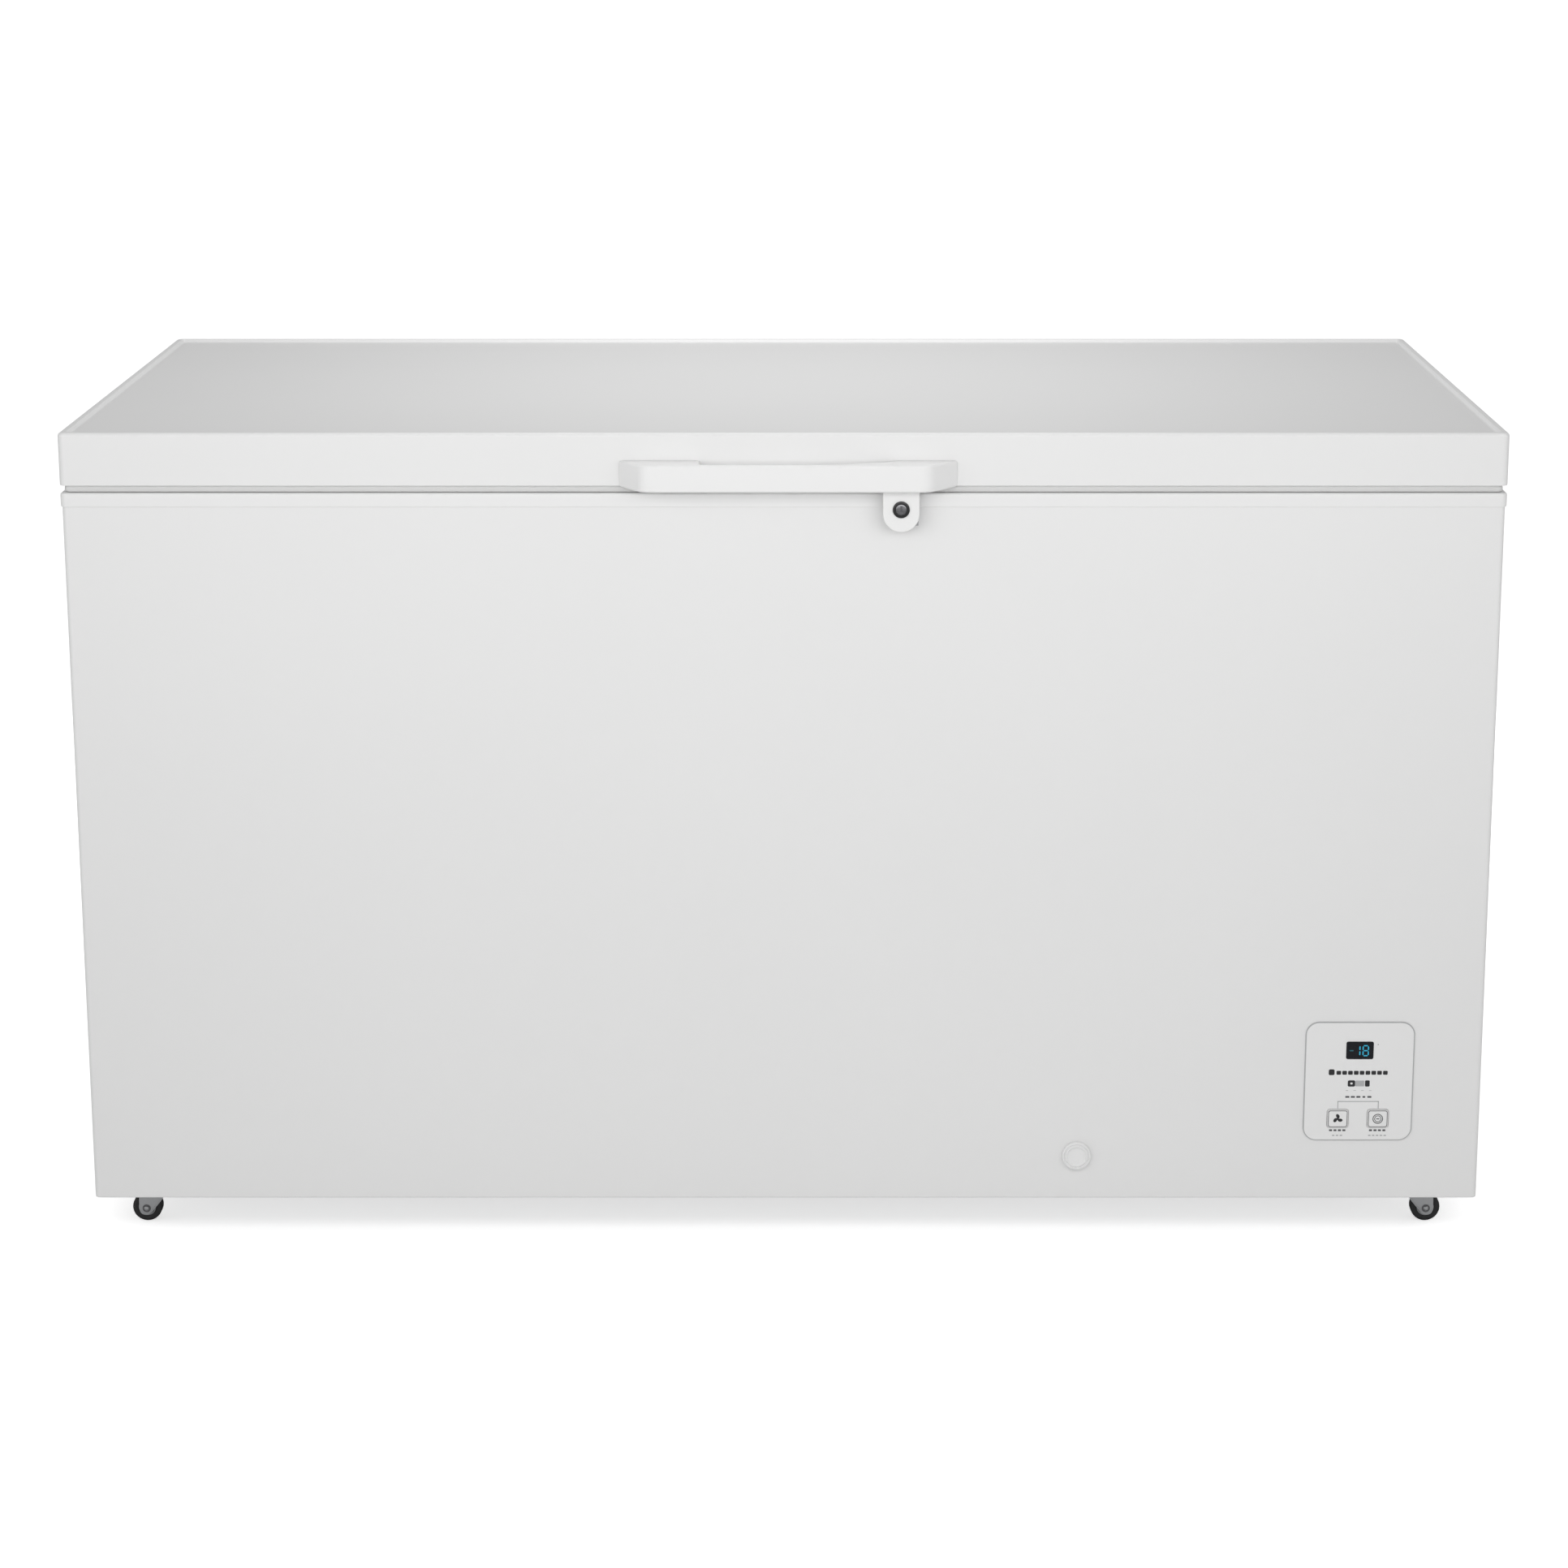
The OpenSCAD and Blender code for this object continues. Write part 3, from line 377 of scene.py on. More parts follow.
WHITE: Colour = (0.78, 0.78, 0.778)
RECORD_FINISHES: dict[str, Finish] = {
    "white_paint": Finish("white_paint", WHITE, 0.38, Grain.PEEL, spread=0.02, depth=0.05, specular=0.4),
    "white_plastic": Finish("white_plastic", (0.795, 0.795, 0.793), 0.36, spread=0.02, depth=0.04),
    "white_liner": Finish("white_liner", (0.80, 0.81, 0.82), 0.3, Grain.POLISHED, spread=0.03),
    "zinc_steel": Finish("zinc_steel", (0.42, 0.425, 0.435), 0.36, Grain.BRUSHED, metallic=1.0, spread=0.15),
    "zinc_sheet": Finish("zinc_sheet", (0.5, 0.51, 0.52), 0.42, Grain.SPANGLE, metallic=0.9, spread=0.1),
    "foam": Finish("foam", (0.78, 0.66, 0.4), 0.9, Grain.CELLS, spread=0.12),
    "rubber_grey": Finish("rubber_grey", (0.65, 0.65, 0.645), 0.62, spread=0.04, depth=0.15),
    "rubber_black": Finish("rubber_black", (0.018, 0.018, 0.02), 0.7, spread=0.3, depth=0.25),
    "black_enamel": Finish("black_enamel", (0.012, 0.012, 0.014), 0.28, Grain.PEEL, coat=0.4, spread=0.2),
    "black_plastic": Finish("black_plastic", (0.02, 0.02, 0.023), 0.5, spread=0.2, depth=0.2),
    "copper": Finish("copper", (0.72, 0.33, 0.18), 0.32, Grain.BRUSHED, metallic=1.0, spread=0.25),
    "dark_steel": Finish("dark_steel", (0.16, 0.16, 0.165), 0.4, Grain.BRUSHED, metallic=1.0, spread=0.2),
    "aluminium_tube": Finish("aluminium_tube", (0.68, 0.69, 0.7), 0.35, Grain.BRUSHED, metallic=1.0),
    "grey_plastic": Finish("grey_plastic", (0.30, 0.31, 0.32), 0.48, spread=0.08, depth=0.15),
    "dark_window": Finish("dark_window", (0.004, 0.005, 0.008), 0.14, Grain.POLISHED, spread=0.2,
                          specular=0.25),
    "board_green": Finish("board_green", (0.02, 0.16, 0.06), 0.35, spread=0.15),
    "lock_metal": Finish("lock_metal", (0.2, 0.2, 0.21), 0.26, Grain.BRUSHED, metallic=1.0, spread=0.1),
    "basket_wire": Finish("basket_wire", (0.78, 0.785, 0.79), 0.36, spread=0.03),
    "tyre_black": Finish("tyre_black", (0.010, 0.010, 0.011), 0.55, spread=0.3, depth=0.3),
}
EXTRA_FINISHES: dict[str, Finish] = {
    # This grey is print on the panel's marks and also painted shade along the edge of the panel plate.
    "grey_print_and_edge_shade": Finish("grey_print_and_edge_shade", (0.42, 0.425, 0.43), 0.5, spread=0.05),
    "ink_black": Finish("ink_black", (0.012, 0.012, 0.014), 0.5, spread=0.2),
    "ink_grey": Finish("ink_grey", (0.09, 0.09, 0.095), 0.5, spread=0.1),
    "digit_cyan": Finish("digit_cyan", (0.015, 0.24, 0.36), 0.4, Grain.POLISHED, spread=0.1, glow=0.7),
    "digit_dim": Finish("digit_dim", (0.012, 0.08, 0.10), 0.4, Grain.POLISHED, spread=0.1, glow=0.4),
    "lock_ring_black": Finish("lock_ring_black", (0.008, 0.008, 0.009), 0.3, Grain.POLISHED, spread=0.2),
}


class Palette:
    """Builds the finishes and dresses the CAD nodes with them."""

    def __init__(self) -> None:
        """Builds every finish once."""
        groups = SurfaceGroups()
        self.materials = {name: finish.build(groups)
                          for name, finish in {**RECORD_FINISHES, **EXTRA_FINISHES}.items()}

    def __getitem__(self, name: str) -> bpy.types.Material:
        """Returns the material of that name."""
        return self.materials[name]

    def dress_frame(self) -> None:
        """Gives each CAD node the finish of its record slot."""
        for part in frame["record"]["subparts"]:
            node = frame["nodes"][part["node"]]
            if not node.material_slots:
                node.data.materials.append(None)
            for slot in node.material_slots:
                slot.material = self[part["material_slot"]]
        log.info("dressed %d CAD nodes", len(frame["nodes"]))


# ---------------------------------------------------------------- shapes


def corner_path(points: Sequence[Vector], radius: float, steps: int = 6,
                closed: bool = False) -> list[Vector]:
    """Rounds the corners of a path.

    Args:
        points: the path's corners.
        radius: how far along each leg the rounding starts.
        steps: points on each rounded corner, less one.
        closed: True if the path is a loop.

    Returns:
        The path with round corners.
    """
    made: list[Vector] = []
    count = len(points)
    for i, here in enumerate(points):
        if not closed and i in (0, count - 1):
            made.append(here.copy())
            continue
        before, after = points[i - 1] - here, points[(i + 1) % count] - here
        reach = min(radius, before.length * 0.49, after.length * 0.49)
        start, end = here + before.normalized() * reach, here + after.normalized() * reach
        for k in range(steps + 1):
            t = k / steps
            made.append(start * (1 - t) ** 2 + here * (2 * t * (1 - t)) + end * t ** 2)
    return made


def rounded_rectangle(width: float, height: float, radius: float, steps: int = 8) -> list[Point]:
    """Outline of a rectangle with round corners about the origin.

    Args:
        width: full width.
        height: full height.
        radius: corner radius.
        steps: flats in each corner.

    Returns:
        Points anticlockwise from the right side.
    """
    made = []
    for quarter, (sx, sy) in enumerate(((1, 1), (-1, 1), (-1, -1), (1, -1))):
        for k in range(steps + 1):
            a = math.radians(90 * (quarter + k / steps))
            made.append((sx * (width / 2 - radius) + radius * math.cos(a),
                         sy * (height / 2 - radius) + radius * math.sin(a)))
    return made


def arc_points(cx: float, cy: float, radius: float, start: float, end: float, steps: int = 6) -> list[Point]:
    """Points on an arc.

    Args:
        cx: centre, first coordinate.
        cy: centre, second coordinate.
        radius: the arc's radius.
        start: first angle in degrees.
        end: last angle in degrees.
        steps: flats on the arc.

    Returns:
        The points from start to end.
    """
    return [(cx + radius * math.cos(math.radians(start + (end - start) * k / steps)),
             cy + radius * math.sin(math.radians(start + (end - start) * k / steps)))
            for k in range(steps + 1)]


def moved(outline: Iterable[Point], x: float, z: float) -> list[Point]:
    """Moves an outline.

    Args:
        outline: its points.
        x: how far along its first coordinate.
        z: how far along its second.

    Returns:
        The moved points.
    """
    return [(x + u, z + v) for u, v in outline]


def drawn_in(x: float, z: float, width: float, height: float, corner: float,
             steps: int = 8) -> Callable[[float], list[Point]]:
    """A rounded rectangle that can be drawn in.

    Args:
        x: its middle, sideways.
        z: its middle height.
        width: full width.
        height: full height.
        corner: corner radius.
        steps: flats in each corner.

    Returns:
        A function from an inset to the outline.
    """
    def drawn(inset: float) -> list[Point]:
        """The outline drawn in by inset."""
        return moved(rounded_rectangle(width - 2 * inset, height - 2 * inset, corner - inset, steps), x, z)

    return drawn


def circle_points(centre: Vector, side: Vector, other: Vector, radius: float, steps: int) -> list[Vector]:
    """Points on a circle.

    Args:
        centre: its middle.
        side: direction of the first point.
        other: direction at a right angle to side, in the circle's plane.
        radius: its radius.
        steps: number of points.

    Returns:
        The points.
    """
    angles = [2 * math.pi * k / steps for k in range(steps)]
    return [centre + (side * math.cos(a) + other * math.sin(a)) * radius for a in angles]


class Shape:
    """A mesh under construction, in millimetres."""

    def __init__(self) -> None:
        """Starts an empty mesh."""
        self.bm = bmesh.new()

    def _ring(self, points: Iterable[Vector]) -> list[bmesh.types.BMVert]:
        """Adds a ring of vertices.

        Args:
            points: where they go.

        Returns:
            The new vertices.
        """
        return [self.bm.verts.new(Vector(p) * MM) for p in points]

    def _skin(self, verts: Sequence[bmesh.types.BMVert], finish: int) -> None:
        """Adds one face.

        Args:
            verts: its corners.
            finish: index of its material.
        """
        if len(set(verts)) < 3:
            return
        face = self.bm.faces.new(list(dict.fromkeys(verts)))
        face.smooth = True
        face.material_index = finish

    def loft(self, rings: Sequence[Sequence[Vector]], caps: tuple[bool, bool] = (True, True),
             loop: bool = False, finish: int = 0) -> "Shape":
        """Skins a row of rings that all have as many points.

        Args:
            rings: the rings in order.
            caps: whether the first and the last ring are closed with a face.
            loop: True if the last ring joins the first.
            finish: index of the material.

        Returns:
            This shape.
        """
        made = [self._ring(r) for r in rings]
        pairs = list(zip(made, made[1:] + made[:1])) if loop else list(zip(made, made[1:]))
        for a, b in pairs:
            for i in range(len(a)):
                j = (i + 1) % len(a)
                self._skin((a[i], a[j], b[j], b[i]), finish)
        if caps[0] and not loop:
            self._skin(made[0][::-1], finish)
        if caps[1] and not loop:
            self._skin(made[-1], finish)
        return self

    def turn(self, profile: Sequence[Point], origin: Vector, axis: Vector, steps: int = 40,
             finish: int = 0, loop: bool = False) -> "Shape":
        """Turns a profile about an axis.

        Args:
            profile: pairs of radius and distance along the axis.
            origin: a point on the axis.
            axis: direction of the axis.
            steps: flats round the axis.
            finish: index of the material.
            loop: True if the profile is closed.

        Returns:
            This shape.
        """
        axis = Vector(axis).normalized()
        side = axis.orthogonal().normalized()
        other = axis.cross(side)
        rings = [circle_points(Vector(origin) + axis * along, side, other, max(radius, LEAST_RADIUS), steps)
                 for radius, along in profile]
        return self.loft(rings, loop=loop, finish=finish)

    def tube(self, path: Sequence[Vector], radius: float, sides: int = 10, closed: bool = False,
             finish: int = 0) -> "Shape":
        """Sweeps a round section along a path without twist.

        Args:
            path: the path's points.
            radius: radius of the section.
            sides: flats round the section.
            closed: True if the path is a loop.
            finish: index of the material.

        Returns:
            This shape.
        """
        path = [p for i, p in enumerate(path) if i == 0 or (p - path[i - 1]).length > 1e-4]
        if closed and (path[0] - path[-1]).length < 1e-4:
            path = path[:-1]
        count = len(path)
        side: Vector | None = None
        rings = []
        for i, here in enumerate(path):
            ahead = path[(i + 1) % count] if closed or i < count - 1 else here
            behind = path[i - 1] if closed or i > 0 else here
            way = (ahead - behind).normalized()
            if side is None:
                side = way.orthogonal().normalized()
            else:
                side = (side - way * side.dot(way)).normalized()
            rings.append(circle_points(here, side, way.cross(side), radius, sides))
        return self.loft(rings, loop=closed, finish=finish)

    def slab(self, outline: Sequence[Point], place: Callable[[float, float, float], Vector], low: float,
             high: float, finish: int = 0) -> "Shape":
        """Extrudes an outline between two depths.

        Args:
            outline: the outline's points.
            place: turns outline coordinates and a depth into a position.
            low: first depth.
            high: last depth.
            finish: index of the material.

        Returns:
            This shape.
        """
        return self.loft([[place(u, v, low) for u, v in outline], [place(u, v, high) for u, v in outline]],
                         finish=finish)

    def pillow(self, outline: Callable[[float], Sequence[Point]],
               place: Callable[[float, float, float], Vector], low: float, high: float, edge: float,
               finish: int = 0, steps: int = 5) -> "Shape":
        """Extrudes an outline and rolls its far edge over.

        Args:
            outline: gives the outline drawn in by a distance.
            place: turns outline coordinates and a depth into a position.
            low: first depth.
            high: last depth.
            edge: radius of the rolled edge.
            finish: index of the material.
            steps: flats on the rolled edge.

        Returns:
            This shape.
        """
        sign = 1 if high > low else -1
        rings = [[place(u, v, low) for u, v in outline(0.0)]]
        for k in range(steps + 1):
            a = math.radians(90 * k / steps)
            depth = high - sign * edge * (1 - math.sin(a))
            rings.append([place(u, v, depth) for u, v in outline(edge * (1 - math.cos(a)))])
        return self.loft(rings, finish=finish)

    def block(self, low: Sequence[float], high: Sequence[float], finish: int = 0) -> "Shape":
        """Adds a box.

        Args:
            low: its lowest corner.
            high: its highest corner.
            finish: index of the material.

        Returns:
            This shape.
        """
        corners = [(low[0], low[1]), (high[0], low[1]), (high[0], high[1]), (low[0], high[1])]
        return self.loft([[Vector((x, y, low[2])) for x, y in corners],
                          [Vector((x, y, high[2])) for x, y in corners]], finish=finish)

    def raw(self, name: str) -> bpy.types.Object:
        """Turns the shape into an object with no finish, such as a cutter.

        Args:
            name: the object's name.

        Returns:
            The object, linked to the scene.
        """
        bmesh.ops.recalc_face_normals(self.bm, faces=self.bm.faces)
        mesh = bpy.data.meshes.new(name)
        self.bm.to_mesh(mesh)
        self.bm.free()
        made = bpy.data.objects.new(name, mesh)
        bpy.context.scene.collection.objects.link(made)
        return made


def bake(made: bpy.types.Object) -> None:
    """Applies an object's modifiers.

    Args:
        made: the object.
    """
    bpy.context.view_layer.update()
    depsgraph = bpy.context.evaluated_depsgraph_get()
    mesh = bpy.data.meshes.new_from_object(made.evaluated_get(depsgraph))
    made.modifiers.clear()
    made.data = mesh


def round_edges(made: bpy.types.Object, width: float, segments: int, angle: float) -> None:
    """Adds a modifier that rounds an object's edges.

    Args:
        made: the object.
        width: width of the rounding, in millimetres.
        segments: flats across it.
        angle: the least angle of an edge that is rounded, in degrees.
    """
    modifier = made.modifiers.new("edges", "BEVEL")
    modifier.width = width * MM
    modifier.segments = segments
    modifier.limit_method = "ANGLE"
    modifier.angle_limit = math.radians(angle)


def thicken(made: bpy.types.Object, thickness: float, offset: float) -> None:
    """Gives an open shell a thickness.

    Args:
        made: the shell.
        thickness: the thickness, in millimetres.
        offset: 1 to grow along the faces' normals, -1 to grow against them.
    """
    modifier = made.modifiers.new("sheet", "SOLIDIFY")
    modifier.thickness = thickness * MM
    modifier.offset = offset
    bake(made)


class Cut(Enum):
    """What a second shape does to a piece."""

    AWAY = "DIFFERENCE"
    JOIN = "UNION"


def carve(made: bpy.types.Object, cutters: Iterable[bpy.types.Object], how: Cut = Cut.AWAY) -> None:
    """Cuts shapes out of an object, or joins them to it, and removes them.

    Args:
        made: the object.
        cutters: closed shapes.
        how: whether they are cut away or joined.
    """
    cutters = list(cutters)
    for cutter in cutters:
        modifier = made.modifiers.new("cut", "BOOLEAN")
        modifier.operation = how.value
        modifier.object = cutter
        modifier.solver = "EXACT"
    bake(made)
    for cutter in cutters:
        bpy.data.objects.remove(cutter)


@dataclass
class Piece:
    """How one visible piece is handed over.

    Attributes:
        name: the piece's name.
        body: the CAD body it rides on.
        slot: the record's material slot that its finish belongs to.
        replaces: CAD nodes that it stands for.
        finishes: names of its materials, the slot's own first.
        bevel: width of rounded edges, or 0.
        sharp: angle above which an edge stays sharp, in degrees.
    """

    name: str
    body: str
    slot: str
    replaces: tuple[str, ...] = ()
    finishes: tuple[str, ...] = ()
    bevel: float = 0.0
    sharp: float = 38.0

    def hand_over(self, made: bpy.types.Object, palette: Palette) -> bpy.types.Object:
        """Dresses an object, rounds its edges and ties it to its body.

        Args:
            made: the object.
            palette: the finishes.

        Returns:
            The same object.
        """
        made.name = self.name
        made.data.name = self.name
        faces = len(made.data.polygons)
        chosen = [0] * faces
        made.data.polygons.foreach_get("material_index", chosen)
        made.data.materials.clear()
        for name in self.finishes or (self.slot,):
            made.data.materials.append(palette[name])
        made.data.polygons.foreach_set("material_index", chosen)
        if self.bevel:
            round_edges(made, self.bevel, 3, 40)
        made.data.polygons.foreach_set("use_smooth", [True] * faces)
        made.data.set_sharp_from_angle(angle=math.radians(self.sharp if not self.bevel else 75))
        weighted = made.modifiers.new("shading", "WEIGHTED_NORMAL")
        weighted.keep_sharp = True
        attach(made, self.body)
        if self.replaces:
            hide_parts(*self.replaces)
        log.info("piece %s on %s, %d faces", self.name, self.body, len(made.data.polygons))
        return made


@dataclass
class Outline:
    """The rounded outline that the lid, the rim and the cabinet share, in millimetres.

    Attributes:
        half: half its width.
        front: its front plane.
        back: its back plane.
    """

    half: float
    front: float
    back: float

    @classmethod
    def of_lid(cls) -> "Outline":
        """Reads the outline from the lid's CAD node.

        Returns:
            The outline.
        """
        low, high = box_mm("lid_skin")
        return cls(high.x, low.y, high.y)

    def ring(self, inset: float, z: float, radius: float, steps: int = 8) -> list[Vector]:
        """One level ring.

        Args:
            inset: how far inside the outline.
            z: its height.
            radius: corner radius.
            steps: flats in each corner.

        Returns:
            Points of the ring.
        """
        centre = (self.front + self.back) / 2
        width, depth = 2 * (self.half - inset), self.back - self.front - 2 * inset
        return [Vector((u, centre + v, z))
                for u, v in rounded_rectangle(width, depth, max(radius, SHARPEST_CORNER), steps)]


def front_place(x: float, z: float, y: float) -> Vector:
    """A point on the front: sideways place, height and depth, as pillow and slab ask for."""
    return Vector((x, y, z))


def level_place(x: float, y: float, z: float) -> Vector:
    """A point of a level outline: sideways place, depth and height, as slab asks for."""
    return Vector((x, y, z))


# ---------------------------------------------------------------- cabinet


@dataclass
class CabinetShell:
    """The painted steel wrapper, its openings and the plastic rim on top of it.

    Attributes:
        palette: the finishes.
        outline: the shared outline.
        inset: how far the steel lies inside the outline.
        sheet: thickness of the steel.
        corner: radius of the upright corners.
        hem: radius of the rolled lower edge.
        flange: how far the sheet turns in under the cabinet.
        drain_hole: radius of the hole behind the drain cap.
    """

    palette: Palette
    outline: Outline
    inset: float = 1.5
    sheet: float = 0.8
    corner: float = 4.6
    hem: float = 1.8
    flange: float = 11.0
    drain_hole: float = 11.1

    def build(self) -> None:
        """Builds the wrapper and the rim."""
        self._wrapper()
        self._rim()

    def _wrapper(self) -> None:
        """Steel round all four sides, with a rolled lower edge and its four openings."""
        low, high = box_mm("front_panel")
        s, t = self.inset, self.sheet
        bottom, top = low.z, high.z
        section = [(s + t, top), (s, top)]
        section += arc_points(s + self.hem, bottom + self.hem, self.hem, 180, 270, 5)
        section += [(s + self.flange, bottom), (s + self.flange, bottom + t), (s + self.hem + t, bottom + t),
                    (s + t, bottom + self.hem)]
        rings = [self.outline.ring(u, z, self.corner - max(0.0, u - s) * 0.6) for u, z in section]
        made = Shape().loft(rings, loop=True).raw("cabinet_wrapper")
        cap_x, _, cap_z = middle(*box_mm("drain_cap"))
        drain = Shape().turn([(self.drain_hole, -20), (self.drain_hole, 30)],
                             Vector((cap_x, self.outline.front, cap_z)), ALONG_Y)
        pane_low, pane_high = box_mm("control_panel")
        pane = Shape().block((pane_low.x + 7, self.outline.front - 5, pane_low.z + 7),
                             (pane_high.x - 7, self.outline.front + 9, pane_high.z - 7))
        vent_low, vent_high = box_mm("side_grille")
        vent = Shape().block((vent_low.x - 4, vent_low.y + 8, vent_low.z + 8),
                             (vent_high.x + 9, vent_high.y - 8, vent_high.z - 8))
        rear_low, rear_high = box_mm("rear_bay_cover")
        rear = Shape().block((rear_low.x + 10, self.outline.back - 9, rear_low.z + 10),
                             (rear_high.x - 10, self.outline.back + 9, rear_high.z - 10))
        carve(made, [drain.raw("cut_drain"), pane.raw("cut_pane"), vent.raw("cut_vent"),
                     rear.raw("cut_rear")])
        Piece("cabinet_wrapper", "cabinet", "white_paint",
              ("front_panel", "left_side_panel", "right_side_panel", "back_panel")).hand_over(
            made, self.palette)

    def _rim(self) -> None:
        """Plastic rim with a rolled outer edge, a ledge for the baskets and a skirt inside."""
        low, high = box_mm("top_rim_frame")
        top = high.z
        outer_low = top - 14.0
        ledge = top - 13.7
        section = [(1.3, outer_low), (0.5, outer_low), (0.0, outer_low + 0.8)]
        section += arc_points(2.2, top - 2.2, 2.2, 180, 90, 6)
        section += arc_points(55.8, top - 2.2, 2.2, 90, 0, 5)
        section += [(58.0, ledge + 0.9), (58.4, ledge + 0.2), (59.2, ledge)]
        section += arc_points(68.4, ledge - 1.6, 1.6, 90, 0, 4)
        section += [(70.0, low.z + 0.5), (69.6, low.z), (68.4, low.z), (68.0, low.z + 0.5),
                    (68.0, ledge - 2.5), (55.5, ledge - 2.5), (55.5, top - 2.5), (1.4, top - 2.5)]
        rings = []
        for u, z in section:
            radius = 6.0 - min(u, 2.2) if u < 30 else 47.0 - (u - 55.5) * 0.5
            rings.append(self.outline.ring(u, z, radius, 10))
        made = Shape().loft(rings, loop=True).raw("rim_moulding")
        Piece("rim_moulding", "cabinet", "white_plastic", ("top_rim_frame",), sharp=50).hand_over(
            made, self.palette)


@dataclass
class InnerTub:
    """The formed liner with its step over the compressor bay.

    Attributes:
        palette: the finishes.
        upright: radius of the upright corners.
        floor_edge: radius between the walls and the floors.
        sheet: thickness of the liner.
        step_floor: height of the floor above the compressor bay.
        step_wall: sideways place of the wall beside the bay.
    """

    palette: Palette
    upright: float = 40.0
    floor_edge: float = 22.0
    sheet: float = 1.0
    step_floor: float = 374.0
    step_wall: float = 395.0

    def _hollow(self, x0: float, x1: float, z0: float, z1: float, y0: float, y1: float) -> Shape:
        """A hollow with round upright corners and a round lower edge.

        Args:
            x0: left wall.
            x1: right wall.
            z0: floor.
            z1: open top.
            y0: front wall.
            y1: back wall.

        Returns:
            The closed shape.
        """
        cx, cy = (x0 + x1) / 2, (y0 + y1) / 2
        rings = []
        for k in range(7):
            a = math.radians(90 * k / 6)
            draw = self.floor_edge * (1 - math.sin(a))
            z = z0 + self.floor_edge * (1 - math.cos(a))
            outline = rounded_rectangle(x1 - x0 - 2 * draw, y1 - y0 - 2 * draw, self.upright - draw * 0.8, 8)
            rings.append([Vector((cx + u, cy + v, z)) for u, v in outline])
        rings.append([Vector((p.x, p.y, z1)) for p in rings[-1]])
        return Shape().loft(rings)

    def build(self) -> None:
        """Builds the liner: the two hollows joined, opened at the top and given thickness."""
        low, high = box_mm("inner_liner")
        t = self.sheet
        x0, x1, y0, y1 = low.x + t, high.x - t, low.y + t, high.y - t
        made = self._hollow(x0, x1, self.step_floor, high.z + 100, y0, y1).raw("tub_liner")
        deep = self._hollow(x0, self.step_wall, low.z + t, self.step_floor + 126, y0, y1).raw("tub_deep")
        carve(made, [deep], Cut.JOIN)
        bm = bmesh.new()
        bm.from_mesh(made.data)
        bmesh.ops.bisect_plane(bm, geom=[*bm.verts, *bm.edges, *bm.faces], plane_co=(0, 0, high.z * MM),
                               plane_no=(0, 0, 1), clear_outer=True)
        bmesh.ops.recalc_face_normals(bm, faces=bm.faces)
        bm.to_mesh(made.data)
        bm.free()
        thicken(made, t, 1.0 if self._faces_out(made) else -1.0)
        bung_x, bung_y, _ = middle(*box_mm("drain_bung"))
        drain = Shape().turn([(7.5, -30), (7.5, 30)], Vector((bung_x, bung_y, low.z)), ALONG_Z)
        carve(made, [drain.raw("cut_bung")])
        Piece("tub_liner", "cabinet", "white_liner", ("inner_liner",), sharp=50).hand_over(made, self.palette)

    @staticmethod
    def _faces_out(made: bpy.types.Object) -> bool:
        """Whether the floor's faces look down, away from the hollow.

        Args:
            made: the open shell.

        Returns:
            True if they do.
        """
        lowest = min(made.data.polygons, key=lambda p: p.center.z)
        return lowest.normal.z < 0


# ---------------------------------------------------------------- lid


